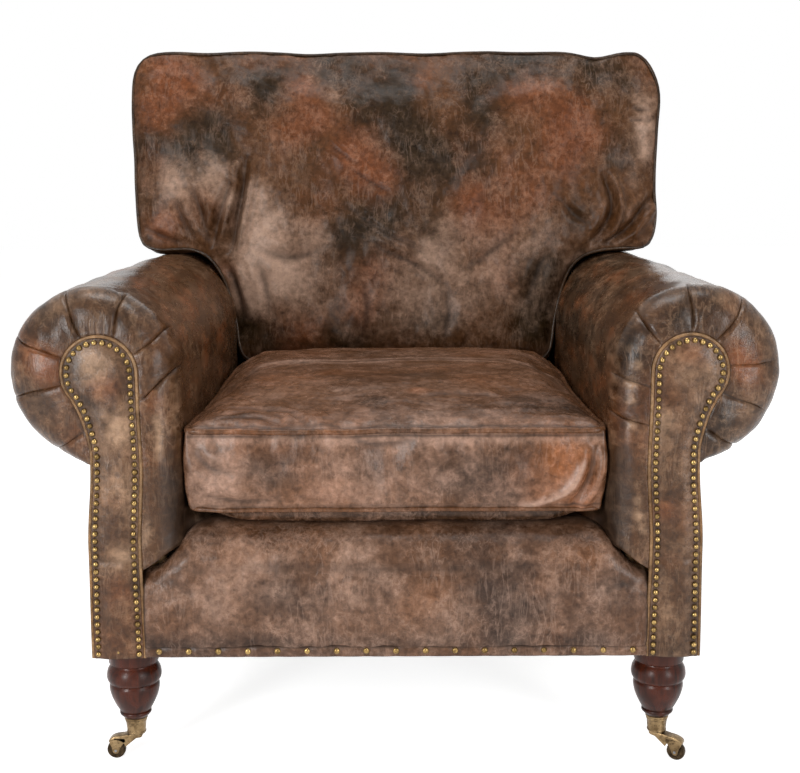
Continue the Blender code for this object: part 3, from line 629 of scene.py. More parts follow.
def nail_tree():
    """Domed nail heads along a line, facing -Y, each a little different."""
    tree, write, given, out = new_tree("nail_row", {"Pitch": 0.01, "Radius": 0.0045, "Rise": 0.003, "Seed": 1})
    line = write.add("GeometryNodeMeshToCurve", None, Mesh=given.outputs["Geometry"])
    spaced = write.add("GeometryNodeResampleCurve", {"mode": "LENGTH"}, Curve=line.outputs[0],
                       Length=given.outputs["Pitch"])
    ball = write.add("GeometryNodeMeshUVSphere", None, Segments=10, Rings=6, Radius=1.0)
    squash = write.add("ShaderNodeCombineXYZ", None, X=given.outputs["Radius"], Y=given.outputs["Radius"],
                       Z=given.outputs["Rise"])
    dome = write.add("GeometryNodeTransform", None, Geometry=ball.outputs[0], Scale=squash.outputs[0])
    turn = write.add("FunctionNodeRandomValue", {"data_type": "FLOAT_VECTOR"}, Seed=given.outputs["Seed"])
    turn.inputs[0].default_value = (math.radians(82), math.radians(-8), 0.0)
    turn.inputs[1].default_value = (math.radians(98), math.radians(8), math.radians(6))
    grow = write.add("FunctionNodeRandomValue", {"data_type": "FLOAT"}, Seed=given.outputs["Seed"])
    grow.inputs[2].default_value = 0.93
    grow.inputs[3].default_value = 1.05
    placed = write.add("GeometryNodeInstanceOnPoints", None, Points=spaced.outputs[0], Instance=dome.outputs[0],
                       Rotation=turn.outputs[0], Scale=grow.outputs[1])
    return close_tree(tree, write, placed.outputs[0], given, out)


def cord_tree():
    """A round welt along a line."""
    tree, write, given, out = new_tree("welt", {"Radius": 0.003, "Sides": 10})
    line = write.add("GeometryNodeMeshToCurve", None, Mesh=given.outputs["Geometry"])
    ring = write.add("GeometryNodeCurvePrimitiveCircle", None, Resolution=given.outputs["Sides"],
                     Radius=given.outputs["Radius"])
    tube = write.add("GeometryNodeCurveToMesh", None, Curve=line.outputs[0])
    tree.links.new(ring.outputs[0], tube.inputs["Profile Curve"])
    tube.inputs["Fill Caps"].default_value = True
    return close_tree(tree, write, tube.outputs[0], given, out)


TREES = {"nails": nail_tree(), "welt": cord_tree()}


def follow(name, tree, lines, finish, closed=False, **sizes):
    """A finished piece made by one of the trees along one or more lines."""
    points, edges = [], []
    for line in lines:
        start = len(points)
        points += [tuple(float(v) for v in p) for p in line]
        edges += [(start + k, start + k + 1) for k in range(len(line) - 1)]
        if closed:
            edges.append((len(points) - 1, start))
    mesh = bpy.data.meshes.new(name)
    mesh.from_pydata(points, edges, [])
    made = linked(name, mesh)
    change = made.modifiers.new(tree, "NODES")
    change.node_group = TREES[tree]
    for item in TREES[tree].interface.items_tree:
        if item.in_out != "INPUT":
            continue
        if item.name in sizes:
            change[item.identifier] = sizes[item.name]
        elif item.name == "Material":
            change[item.identifier] = FINISH[finish]
    settle(bake(made), finish)


# ---------------------------------------------------------------- outlines of an arm's front

HEAD_START = HEAD_Z - HEAD_R * math.sin(math.radians(42))
NECK_LINE = curve_through([(WAIST_X, NECK_Z - 0.020), (WAIST_X, NECK_Z), (0.3890, NECK_Z + 0.022),
                           (0.3960, NECK_Z + 0.045), (0.4061, HEAD_START)], 40)


def facing_inner(z):
    """Inner edge of the keyhole facing below its head."""
    return eased([(0.17, 0.3270), (0.31, 0.3290), (0.42, 0.3235), (0.50, 0.3250)], z)


def facing_outer(z):
    """Outer edge of the keyhole facing below its neck."""
    return eased([(0.17, SIDE_FOOT_X)] + SIDE_EDGE, z)


def facing_span(z):
    """Inner and outer edge of the keyhole facing at height z."""
    z = np.asarray(z, dtype=float)
    round_part = np.sqrt(np.clip(HEAD_R ** 2 - (z - HEAD_Z) ** 2, 0, None))
    inner = np.where(z < HEAD_Z, facing_inner(z), HEAD_X - round_part)
    neck = np.interp(z, NECK_LINE[:, 1], NECK_LINE[:, 0])
    outer = np.where(z < NECK_LINE[0, 1], facing_outer(z), np.where(z < HEAD_START, neck, HEAD_X + round_part))
    return inner, outer


def facing_outline(grow, count):
    """Keyhole outline in X and Z, up the inner edge, round the head and down the outer edge."""
    up = np.linspace(BOTTOM_Z, HEAD_Z, 40)
    points = list(zip(facing_span(up)[0], up))
    for angle in np.radians(np.linspace(180, -42, 60)[1:-1]):
        points.append((HEAD_X + HEAD_R * math.cos(angle), HEAD_Z + HEAD_R * math.sin(angle)))
    down = np.linspace(HEAD_START, BOTTOM_Z, 50)
    points += list(zip(facing_span(down)[1], down))
    line = evenly(points, count)
    step = np.gradient(line, axis=0)
    normal = np.stack([-step[:, 1], step[:, 0]], axis=1)
    normal /= np.linalg.norm(normal, axis=1)[:, None]
    return line + normal * grow


def chord_panel(name, heights, span, columns, depth, facing=-1):
    """A panel in the XZ plane made of level rows between two edges; depth gives Y."""
    points = []
    across = np.linspace(0, 1, columns)
    ease = 0.5 - 0.5 * np.cos(math.pi * across)
    share = 0.55 * across + 0.45 * ease
    for z in heights:
        low, high = span(z)
        x = low + (high - low) * share
        points += [(a, float(b), z) for a, b in zip(x, depth(x, np.full(columns, z)))]
    return new_piece(name, points, grid_faces(len(heights), columns), flip=facing > 0)


# ---------------------------------------------------------------- arms

STRAIGHT = ROLL_Z - TUCK_Z
MEAN_R = (ROLL_R + ROLL_RISE) / 2
WHOLE = STRAIGHT + (math.pi - ROLL_END) * MEAN_R
REAR_DEPTH = 0.0063                     # the arm stops this far inside the outer back
ROUNDING = 0.84                         # how square the pleated rounding is, 1 for a round one
ARM_SEED = {"left": 3, "right": 8}

# Pleats: angle at the shoulder and at the facing, outwards from the roll's centre and
# past 180 down the inside; depth and how far back they run
PLEATS = {
    "left": [(73, 65, 0.0044, 0.092), (114, 112, 0.0040, 0.084), (150, 152, 0.0036, 0.094),
             (176, 197, 0.0038, 0.104), (25, 23, 0.0036, 0.096), (-15, -16, 0.0030, 0.098),
             (-62, -58, 0.0024, 0.080)],
    "right": [(98, 90, 0.0034, 0.084), (58, 50, 0.0040, 0.092), (8, 8, 0.0022, 0.074),
              (-61, -57, 0.0036, 0.090), (137, 139, 0.0030, 0.080), (181, 190, 0.0018, 0.080),
              (206, 212, 0.0024, 0.076), (-28, -27, 0.0022, 0.090)],
}


def along_section(degrees):
    """Distance along the arm's section of an angle about the roll's centre."""
    if degrees <= 180:
        return STRAIGHT + math.radians(180 - degrees) * MEAN_R
    return STRAIGHT - ROLL_R * math.tan(math.radians(degrees - 180))


def section_stations(pleats):
    """Places along the section, close together where a pleat runs."""
    wanted = list(np.arange(0, WHOLE, 0.0052)) + [WHOLE]
    for outer, inner, _, _ in pleats:
        a, b = sorted((along_section(outer), along_section(inner)))
        wanted += list(np.arange(a - 0.0075, b + 0.0075, 0.0013))
    wanted = sorted(w for w in wanted if 0 <= w <= WHOLE)
    kept = [wanted[0]]
    for w in wanted[1:]:
        if w - kept[-1] > 0.00095:
            kept.append(w)
    kept[-1] = WHOLE
    return np.array(kept)


def section_points(b):
    """The full section: up the inside face and over the roll."""
    angle = math.pi - np.clip(b - STRAIGHT, 0, None) / MEAN_R
    x = ROLL_X + ROLL_R * np.cos(angle)
    z = np.where(b < STRAIGHT, TUCK_Z + b, ROLL_Z + ROLL_RISE * np.sin(angle))
    return x, z, angle


def front_points(b):
    """Where each point of the section is drawn in to, just outside the facing."""
    x, z, angle = section_points(b)
    head_x = HEAD_X + (HEAD_R + CLEAR) * np.cos(angle)
    head_z = HEAD_Z + (HEAD_R + CLEAR) * np.sin(angle)
    turn = math.radians(-20)
    start = np.array([HEAD_X + HEAD_R * math.cos(turn), HEAD_Z + HEAD_R * math.sin(turn)])
    under = evenly(np.vstack([[start], NECK_LINE[::-1]]), 60)
    share = np.clip((turn - angle) / (turn - ROLL_END), 0, 1) * 59
    neck_x = np.interp(share, np.arange(60), under[:, 0]) + CLEAR
    neck_z = np.interp(share, np.arange(60), under[:, 1])
    below = b < STRAIGHT
    tx = np.where(below, facing_inner(z) - CLEAR, np.where(angle > turn, head_x, neck_x))
    tz = np.where(below, z, np.where(angle > turn, head_z, neck_z))
    blend_in = smooth(b, STRAIGHT - 0.030, STRAIGHT)
    tz = np.where(below, z + (HEAD_Z - ROLL_Z) * blend_in, tz)
    return tx, tz


# Colour patches of the arms' fronts and of the keyhole panels, and of the border: X, Z, radius and strength. The
# pale lists are partly painted highlights and sheen, partly wear, and the border's smoke list ends in a painted
# shadow along its top, under the seat cushion.
ARM_RUST = {
    "left": [(-0.436, 0.542, 0.022, 0.8), (-0.455, 0.564, 0.015, 0.5), (-0.405, 0.462, 0.018, 0.4),
             (-0.305, 0.500, 0.018, 0.4)],
    "right": [(0.437, 0.564, 0.028, 0.9), (0.445, 0.536, 0.022, 0.8), (0.424, 0.615, 0.022, 0.6),
              (0.256, 0.526, 0.020, 0.6)],
}
ARM_SMOKE = {
    "left": [(-0.442, 0.490, 0.025, 0.4), (-0.330, 0.583, 0.020, 0.2)],
    "right": [(0.306, 0.571, 0.022, 0.6), (0.296, 0.526, 0.020, 0.5), (0.356, 0.605, 0.022, 0.5),
              (0.293, 0.462, 0.020, 0.5), (0.412, 0.481, 0.015, 0.4)],
}
ARM_SHEEN_AND_WEAR = {
    "left": [(-0.303, 0.480, 0.006, 0.8), (-0.301, 0.468, 0.006, 0.9), (-0.300, 0.455, 0.006, 0.9),
             (-0.301, 0.442, 0.006, 0.8), (-0.302, 0.430, 0.006, 0.6), (-0.318, 0.345, 0.008, 0.5),
             (-0.319, 0.330, 0.008, 0.7), (-0.322, 0.315, 0.008, 0.7)],
    "right": [(0.305, 0.545, 0.008, 0.6), (0.300, 0.520, 0.008, 0.9), (0.300, 0.500, 0.008, 0.9),
              (0.301, 0.470, 0.008, 0.8), (0.310, 0.370, 0.007, 0.8), (0.313, 0.350, 0.007, 0.9),
              (0.318, 0.330, 0.008, 0.7)],
}
FACING_RUST = {
    "left": [(-0.365, 0.521, 0.022, 0.8), (-0.353, 0.253, 0.020, 0.5), (-0.353, 0.373, 0.018, 0.3)],
    "right": [(0.372, 0.560, 0.022, 0.7), (0.341, 0.360, 0.020, 0.8), (0.354, 0.293, 0.020, 0.5)],
}
FACING_SHEEN_AND_WEAR = {
    "left": [(-0.349, 0.464, 0.018, 0.8), (-0.377, 0.547, 0.020, 0.6), (-0.350, 0.303, 0.015, 0.6),
             (-0.355, 0.40, 0.05, 0.35)],
    "right": [(0.337, 0.477, 0.015, 0.7), (0.366, 0.541, 0.020, 0.5), (0.335, 0.451, 0.015, 0.4)],
}
BORDER_RUST = [
    (-0.20, 0.31, 0.03, 0.49), (-0.22, 0.27, 0.03, 0.28), (-0.08, 0.27, 0.03, 0.28), (0.03, 0.23, 0.04, 0.56),
    (0.06, 0.25, 0.03, 0.42), (-0.27, 0.21, 0.03, 0.35), (0.25, 0.29, 0.03, 0.35), (0.21, 0.19, 0.03, 0.28),
]
BORDER_SMOKE_AND_SHADE = [
    (-0.29, 0.27, 0.02, 0.3), (-0.16, 0.25, 0.04, 0.54), (-0.09, 0.25, 0.02, 0.3), (-0.02, 0.25, 0.02, 0.24),
    (0.13, 0.25, 0.04, 0.42), (0.17, 0.29, 0.03, 0.3), (-0.12, 0.20, 0.03, 0.24), (0.16, 0.20, 0.04, 0.3),
    # the last three, along the top, are a painted shadow under the seat cushion
    (0.07, 0.31, 0.05, 0.24), (0.0, 0.345, 0.03, 0.48), (-0.15, 0.345, 0.03, 0.48), (0.15, 0.345, 0.03, 0.48),
]
BORDER_SHEEN_AND_WEAR = [
    (-0.18, 0.28, 0.04, 0.3), (-0.05, 0.29, 0.05, 0.25), (-0.24, 0.23, 0.03, 0.25), (0.27, 0.26, 0.03, 0.25),
    (0.06, 0.20, 0.03, 0.25),
]
# Folds of the border: line in X and Z, depth, width and height of its lips
BORDER_FOLDS = [
    ([(-0.30, 0.276), (-0.15, 0.283), (0.0, 0.279), (0.16, 0.284), (0.30, 0.277)], 0.0016, 0.010, 0.2),
    ([(-0.318, 0.268), (-0.285, 0.262), (-0.26, 0.245)], 0.0014, 0.007, 0.4),
    ([(0.318, 0.262), (0.29, 0.258), (0.265, 0.247)], 0.0014, 0.007, 0.4),
]


def arm_grid(b):
    """Rows of points of the arm's cover from the facing back, and how far each row is drawn in."""
    x, z, _ = section_points(b)
    tx, tz = front_points(b)
    rows, draws = [], []
    for t in np.linspace(0, 1, 30):
        angle = math.pi / 2 * (1 - t)
        draw = 1 - math.cos(angle) ** ROUNDING
        y = SHOULDER_Y - FRONT_DEPTH * math.sin(angle) ** ROUNDING
        rows.append(xyz(x + (tx - x) * draw, y, z + (tz - z) * draw))
        draws.append(draw)
    end = back_y(z, REAR_DEPTH)
    for share in np.concatenate([np.linspace(0, 0.12, 12)[1:], np.linspace(0.12, 1, 56)[1:]]):
        rows.append(xyz(x, SHOULDER_Y + (end - SHOULDER_Y) * share, z))
        draws.append(0.0)
    return np.array(rows), np.array(draws)[:, None]


def press_pleats(pleats, b, run, draws):
    """Height change of the pleats, a mark of painted shade along them, and how far the leather swells between
    them.
    """
    squeeze = 1 - draws * (1 - HEAD_R / ROLL_R) * (b > STRAIGHT)
    dent, crease, nearest = np.zeros(run.shape), np.zeros(run.shape), np.ones(run.shape)
    fold = 0.0021
    for outer, inner, depth, reach in pleats:
        centre = along_section(outer) + (along_section(inner) - along_section(outer)) * draws
        wander = 0.0012 * np.sin(run * 90 + outer)
        gap = (b[None, :] - centre + wander) * squeeze
        fade = falling(run, reach - 0.034, reach)
        start = 0.45 + 0.55 * smooth(run, 0.0, 0.012)
        dent -= depth * fade * start * (hill(gap, fold) + 0.35 * hill(gap, 3.0 * fold))
        dent += 0.30 * depth * fade * hill(gap - 2.6 * fold, 1.5 * fold)
        crease = np.maximum(crease, fade * start * hill(gap, 0.75 * fold))
        nearest = np.minimum(nearest, np.abs(gap))
    swell = smooth(run, 0.0, 0.022) * falling(run, 0.050, 0.100)
    dent += 0.0012 * swell * (1 - hill(nearest, 0.016))
    return dent.ravel(), crease.ravel(), swell.ravel()


def spread_foot(moved, points, straight, inside):
    """Flare the inside face's foot under the seat, and lift its front edge over the border."""
    flare = 0.046 * falling(points[:, 2], DECK_TOP - 0.012, DECK_TOP + 0.034) ** 1.3
    moved[:, 0] -= flare * inside
    lift = 0.030 * falling(points[:, 0], INNER_X, INNER_X + 0.055)
    lift *= falling(points[:, 2], TUCK_Z, TUCK_Z + 0.070)
    lift *= falling(points[:, 1], SHOULDER_Y, SHOULDER_Y + 0.03)
    moved[:, 2] += lift * straight


def mark_arm(made, label, side, points, run, swell, crease, inside):
    """Where the arm's leather is smoky, rusty and rubbed, with painted highlights and sheen on its front and roll,
    and painted shade in its pleats, on the front's inner side and round its foot.
    """
    x, y, z = points.T
    world = points * (side, 1, 1)
    flat = world[:, [0, 2]]
    front = falling(y, SHOULDER_Y - 0.01, SHOULDER_Y + 0.04)
    # paler on top of the roll; a painted highlight ring on the rounding and painted highlight streaks from the
    # pale list
    rub = 0.15 * smooth(z, ROLL_Z + 0.05, ROLL_Z + 0.10)
    rub += 0.20 * smooth(run, 0.03, 0.055) * swell + blobs(flat, ARM_SHEEN_AND_WEAR[label]) * front
    cloud = (1 - front) * waves(world * (1, 0.45, 1), 0.055, ARM_SEED[label] + 50, 3)
    # painted shade on the inside face's foot, under the seat; the right arm is darker than the left
    foot = inside * falling(z, DECK_TOP + 0.02, DECK_TOP + 0.10)
    smoke = 0.05 + 0.15 * side + 0.9 * foot + blobs(flat, ARM_SMOKE[label]) * front
    rust = blobs(flat, ARM_RUST[label]) * front + 0.6 * np.clip(-cloud, 0, None)
    # painted shade on the inner side of the front low down, and deep in the inside face's foot
    inner_front_shade = 0.85 * front * falling(x, INNER_X + 0.006, INNER_X + 0.034) * falling(z, 0.38, 0.47)
    deep = 0.95 * inside * falling(z, DECK_TOP - 0.005, DECK_TOP + 0.075)
    set_marks(made, crease=np.maximum(crease, np.maximum(deep, inner_front_shade)), rub=rub, rust=rust,
              smoke=smoke + 0.45 * np.clip(cloud, 0, None))


def make_arm(label, side):
    """The arm's cover: inside face, roll, and the pleated rounding drawn in to the facing."""
    b = section_stations(PLEATS[label])
    grid, draws = arm_grid(b)
    steps = np.linalg.norm(np.diff(grid, axis=0), axis=2)
    run = np.concatenate([np.zeros((1, len(b))), np.cumsum(steps, axis=0)])
    dent, crease, swell = press_pleats(PLEATS[label], b, run, draws)
    run = run.ravel()
    points = grid.reshape(-1, 3)
    made = new_piece(label + "_arm", points, grid_faces(len(grid), len(b)))
    world = points * (side, 1, 1)
    dent += 0.0016 * waves(world * (1, 0.6, 1), 0.17, ARM_SEED[label], 2)
    dent += 0.0009 * waves(world, 0.055, ARM_SEED[label] + 20, 3)
    dent *= falling(points[:, 1], 0.36, 0.43)
    moved = points + get_normals(made) * (dent * smooth(run, 0.0, 0.006))[:, None]
    straight = np.tile(b < STRAIGHT, len(grid))
    inside = straight * smooth(points[:, 1], SHOULDER_Y - 0.012, SHOULDER_Y + 0.045)
    spread_foot(moved, points, straight, inside)
    moved[:, 0] *= side
    set_points(made, moved)
    mark_arm(made, label, side, points, run, swell, crease, inside)
    if side > 0:
        made.data.flip_normals()
    thicken(made, WALL["arm"])
    settle(made, "arm", nodes=[label + "_arm_cover", label + "_arm_padding"])


def make_arm_rear(label, side):
    """Disc that closes the rear end of the roll, with its welt."""
    over = 0.0004                       # the disc reaches this far past the roll's section

    def span(z):
        reach = (ROLL_R + over) * math.sqrt(max(0.0, 1 - ((z - ROLL_Z) / (ROLL_RISE + over)) ** 2))
        return ROLL_X - reach, ROLL_X + reach

    def depth(x, z):
        out = np.hypot((x - ROLL_X) / ROLL_R, (z - ROLL_Z) / ROLL_RISE)
        return back_y(z, 0.0070) + 0.0035 * (1 - np.clip(out, 0, 1) ** 3)

    turn = np.radians(np.linspace(-90, 90, 41))
    heights = ROLL_Z + (ROLL_RISE + over) * np.sin(turn)
    made = chord_panel(label + "_arm_rear", heights, span, 25, depth, facing=1)
    reflect(made, side)
    outward(made)
    thicken(made, WALL["disc"])
    settle(made, "outside", nodes=[label + "_arm_rear_panel"])
    line = []
    for angle in np.linspace(math.radians(150), ROLL_END, 90):
        z = ROLL_Z + (ROLL_RISE - 0.0010) * math.sin(angle)
        line.append((side * (ROLL_X + (ROLL_R - 0.0010) * math.cos(angle)), back_y(z, 0.0050), z))
    follow(label + "_arm_rear_piping", "welt", [line], "piping", Radius=PIPING_R)


def reflect(made, side):
    """Put a piece drawn at +X on its own side."""
    if side < 0:
        points = get_points(made)
        points[:, 0] *= -1
        set_points(made, points)
        made.data.flip_normals()


def facing_edge(x, z):
    """How far inside the keyhole panel's outline a point lies, below its head."""
    inner, outer = facing_span(z)
    return np.minimum(x - inner, outer - x)


def shape_facing(x, z, side):
    """Y of the keyhole panel: a rounded edge, a puffed middle, pulled in along its nails."""
    edge = np.where(z > HEAD_Z, HEAD_R - np.hypot(x - HEAD_X, z - HEAD_Z), facing_edge(x, z))
    edge = np.clip(edge, 0, None)
    turn = 0.0045
    lip = turn - np.sqrt(np.clip(turn ** 2 - (turn - np.minimum(edge, turn)) ** 2, 0, None))
    puff = 0.0026 * smooth(edge, NAIL_INSET + 0.001, NAIL_INSET + 0.015)
    pulled = 0.0010 * hill(edge - NAIL_INSET, 0.0030)
    knee = 0.0022 * hill(z - KNEE_Z, 0.0035) * smooth(edge, 0.008, 0.016)
    uneven = 0.0006 * waves(xyz(x, 0.1 * side, z), 0.045, 5 + side)
    return FACING_Y + lip - puff + pulled + knee + uneven


def make_facing(label, side):
    """Keyhole panel of an arm's front, with its welt and nails."""
    top = np.radians(np.linspace(-42, 90, 34)[1:])
    heights = list(np.linspace(BOTTOM_Z, HEAD_START, 110)) + list(HEAD_Z + HEAD_R * np.sin(top))
    made = chord_panel(label + "_facing", heights, facing_span, 23, lambda x, z: shape_facing(x, z, side))
    x, _, z = get_points(made).T
    edge = facing_edge(x, z)
    # painted shade in the knee fold and along the nail line; the pale list adds painted highlights
    knee = 0.5 * hill(z - KNEE_Z, 0.0025) * smooth(edge, 0.01, 0.018)
    nail_line_shade = 0.75 * hill(edge - NAIL_INSET, 0.0032)
    flat = np.stack([x * side, z], axis=1)
    set_marks(made, crease=np.maximum(knee, nail_line_shade), rust=blobs(flat, FACING_RUST[label]),
              rub=0.20 + blobs(flat, FACING_SHEEN_AND_WEAR[label]))
    reflect(made, side)
    outward(made)
    thicken(made, WALL["facing"])
    settle(made, "arm", nodes=[label + "_arm_facing"])
    nail_facing(label, side)


def nail_facing(label, side):
    """The keyhole panel's welt, its close rows of nails and the one nail at its foot."""
    line = [(side * px, FACING_Y + 0.0036, pz) for px, pz in facing_outline(0.0006, 260)]
    follow(label + "_facing_piping", "welt", [line], "tan_piping", Radius=0.75 * PIPING_R)
    row = [(side * px, FACING_Y - 0.0002, pz) for px, pz in facing_outline(-NAIL_INSET, 300)
           if pz > BOTTOM_Z + 0.006]
    middle_x = side * (facing_inner(BOTTOM_Z) + facing_outer(BOTTOM_Z)) / 2
    single = one_nail(middle_x, FACING_Y)
    follow(label + "_facing_nails", "nails", [row, single], "nail", Pitch=0.0101, Radius=0.0039,
           Rise=NAIL_RISE, Seed=4 + side)


def one_nail(x, y):
    """A line so short that it holds one nail, low on the front."""
    z = BOTTOM_Z + HEM_NAIL_H
    return [(x - 0.0001, y, z), (x, y, z)]


def make_outside_arm(label, side):
    """Flat outer side of an arm under the roll."""
    heights = np.linspace(BOTTOM_Z, NECK_Z, 34)
    points, marks = [], []
    columns = 60
    for z in heights:
        y = np.linspace(FACING_LOW.y + 0.012, float(back_y(z, REAR_DEPTH)), columns)
        u = np.linspace(-1, 1, columns)
        bulge = 0.0030 * (1 - u ** 4) * smooth(z, BOTTOM_Z, BOTTOM_Z + 0.05)
        x = float(facing_outer(z)) + bulge + 0.0010 * waves(xyz(float(side), y, z), 0.12, 31 + side)
        points += [(side * a, b, z) for a, b in zip(x, y)]
        marks += list(0.4 * falling(np.full(columns, z), BOTTOM_Z, BOTTOM_Z + 0.06))
    made = new_piece(label + "_outer_side", points, grid_faces(len(heights), columns), flip=side > 0)
    set_marks(made, smoke=marks)
    face_along(made, 0, side)
    thicken(made, WALL["side"])
    settle(made, "outside", nodes=[label + "_outside_arm"])


# ---------------------------------------------------------------- front border

def hem_nails(half):
    """X of the spaced nails along the front hem."""
    pitch = 0.0385
    from_end = 0.015
    count = int(2 * (half - from_end) / pitch)
    reach = pitch * count / 2
    return np.linspace(-reach, reach, count + 1)


def border_grid(half, front):
    """Rows of points of the border: up its front, over its rounding and back along its top."""
    xs = np.linspace(-half, half, 190)
    drop = 0.012 * smooth(np.abs(xs), 0.232, 0.292) + 0.048 * smooth(np.abs(xs), 0.262, 0.322)
    radius = 0.065 - 0.041 * smooth(np.abs(xs), 0.235, 0.315)
    top = DECK_TOP + 0.0005 - drop
    rows = []
    for share in np.linspace(0, 1, 34):
        z = BOTTOM_Z + (top - radius - BOTTOM_Z) * share
        bow = 0.0035 * math.sin(math.pi * share) ** 0.7
        rows.append(xyz(xs, front - bow, z))
    for angle in np.linspace(math.pi, math.pi / 2, 22)[1:]:
        y = front + radius * (1 + math.cos(angle))
        rows.append(xyz(xs, y, top - radius * (1 - math.sin(angle))))
    for y in np.linspace(front + radius, BORDER_HIGH.y, 6)[1:]:
        rows.append(xyz(xs, y, top))
    return np.array(rows)


def make_border():
    """Padded border under the seat cushion, with its hem strip and spaced nails."""
    half = float(facing_inner(BOTTOM_Z)) - CLEAR
    front = BORDER_LOW.y + NAIL_RISE
    grid = border_grid(half, front)
    points = grid.reshape(-1, 3)
    x, y, z = points.T
    flat = points[:, [0, 2]]
    made = new_piece("border", points, grid_faces(*grid.shape[:2]))
    dent, crease = press_folds(flat, BORDER_FOLDS)
    dent += 0.0011 * waves(points, 0.09, 41) + 0.0006 * waves(points, 0.035, 42)
    tugs = hem_nails(half)
    for nail in tugs:
        dent -= 0.0011 * hill(np.hypot(x - nail, (z - BOTTOM_Z - 0.012) * 0.55), 0.011)
    keep = smooth(z, BOTTOM_Z, BOTTOM_Z + 0.008)
    set_points(made, points + get_normals(made) * (dent * keep)[:, None])
    # darker towards the bottom; painted shade along the folds, in the gaps at both ends and on the top under the
    # seat cushion
    low_dark = 0.5 * falling(z, BOTTOM_Z + HEM_H, BOTTOM_Z + HEM_H + 0.03)
    ends = 0.9 * smooth(np.abs(x), half - 0.0045, half - 0.0010)
    under_cushion_shade = 0.8 * smooth(y, front + 0.030, front + 0.062)
    set_marks(made, crease=np.maximum(np.maximum(0.5 * crease, ends), under_cushion_shade), rub=blobs(flat, BORDER_SHEEN_AND_WEAR),
              smoke=low_dark + blobs(flat, BORDER_SMOKE_AND_SHADE), rust=blobs(flat, BORDER_RUST))
    face_along(made, 1, -1)
    thicken(made, WALL["border"])
    settle(made, "border", nodes=["front_border"])
    make_hem(half, front, tugs)


def make_hem(half, front, tugs):
    """Strip along the bottom of the border, puckered at its nails."""
    xs = np.linspace(-half, half, 320)
    rows = []
    pull = sum(hill(xs - nail, 0.0075) for nail in tugs)
    for share in np.linspace(0, 1, 9):
        z = BOTTOM_Z + 0.0006 + HEM_H * share + 0.0007 * np.sin(xs * 61) * share - 0.0008 * pull * share
        swell = 0.0036 * math.sin(math.pi * min(1.0, 0.12 + share * 0.90)) ** 0.6
        y = front - 0.0004 - swell * (1 - 0.50 * pull)
        rows.append(xyz(xs, y, z))
    made = new_piece("border_hem", np.array(rows).reshape(-1, 3), grid_faces(len(rows), len(xs)))
    share = np.repeat(np.linspace(0, 1, 9), len(xs))
    # painted shade along the strip's upper edge
    set_marks(made, crease=0.9 * smooth(share, 0.70, 0.95), smoke=np.full(len(share), 0.25))
    face_along(made, 1, -1)
    thicken(made, WALL["hem"])
    settle(made, "border")
    lines = [one_nail(nail, front - 0.0020) for nail in tugs]
    follow("hem_nails", "nails", lines, "nail", Pitch=0.01, Radius=0.0044, Rise=0.0027, Seed=11)


def press_folds(flat, folds):
    """Height change of folds drawn as lines on a panel, and a mark of painted shade in them.

    A fold is its line, depth, width and how high its lips stand; it fades at its ends.
    """
    dent = np.zeros(len(flat))
    crease = np.zeros(len(flat))
    for line, depth, width, lip in folds:
        line = curve_through(line, 24) if len(line) > 2 else np.asarray(line, dtype=float)
        gap, where, side = along_line(flat, line)
        fade = np.sin(math.pi * np.clip(where, 0.001, 0.999)) ** 0.6
        signed = gap * np.where(side == 0, 1, side)
        hollow = hill(gap, width)
        dent -= depth * fade * hollow
        dent += depth * lip * fade * hill(signed - 1.9 * width, 1.1 * width)
        dent += depth * 0.5 * lip * fade * hill(signed + 2.1 * width, 1.3 * width)
        if depth > 0:
            crease = np.maximum(crease, fade * hill(gap, 0.55 * width))
    return dent, crease


# ---------------------------------------------------------------- outside back and fixed back

BACK_CORNER = 0.022                     # radius of the outer back's top corners


def make_outside_back():
    """Flat outer back with a welt round its edge."""
    ear_x = PANEL_HIGH.x

    def span(z):
        wide = eased([(BOTTOM_Z + 0.007, SIDE_FOOT_X)] + SIDE_EDGE, z)
        wide = np.where(z > WAIST_Z, WAIST_X + 0.0135 * smooth(z, 0.44, 0.62), wide)
        wide = wide + (ear_x - 0.398) * smooth(z, 0.628, 0.664)
        corner = np.clip((z - (PANEL_HIGH.z - BACK_CORNER)) / BACK_CORNER, 0, 1)
        wide = wide - BACK_CORNER * (1 - np.sqrt(np.clip(1 - corner ** 2, 0, 1)))
        return -float(wide), float(wide)

    def depth(x, z):
        wide = span(float(z[0]))[1]
        edge = np.minimum(wide - np.abs(x), PANEL_HIGH.z - z)
        bulge = 0.0045 * smooth(edge, 0.0, 0.10) - 0.0030 * falling(edge, 0.0, 0.006)
        return back_y(z, 0.0015) + bulge + 0.0012 * waves(xyz(x, 0.5, z), 0.16, 51)

    heights = list(np.linspace(BOTTOM_Z, 0.60, 46)) + list(np.linspace(0.60, 0.70, 22)[1:])
    heights += list(np.linspace(0.70, PANEL_HIGH.z - BACK_CORNER, 22)[1:])
    heights += list(PANEL_HIGH.z - BACK_CORNER + BACK_CORNER * np.sin(np.radians(np.linspace(0, 90, 9)[1:])))
    made = chord_panel("outer_back", heights, span, 61, depth, facing=1)
    points = get_points(made)
    low_dark = 0.4 * falling(points[:, 2], BOTTOM_Z, BOTTOM_Z + 0.06)
    set_marks(made, smoke=low_dark)
    face_along(made, 1, 1)
    thicken(made, WALL["back"])
    settle(made, "outside", nodes=["outside_back"])
    edge = [(span(z)[1], z) for z in heights]
    ring = evenly([(-x, z) for x, z in edge] + edge[::-1][1:], 420)
    ring = [(x, float(back_y(z, 0.0022)), z) for x, z in ring]
    follow("outer_back_piping", "welt", [ring], "piping", Radius=PIPING_R)


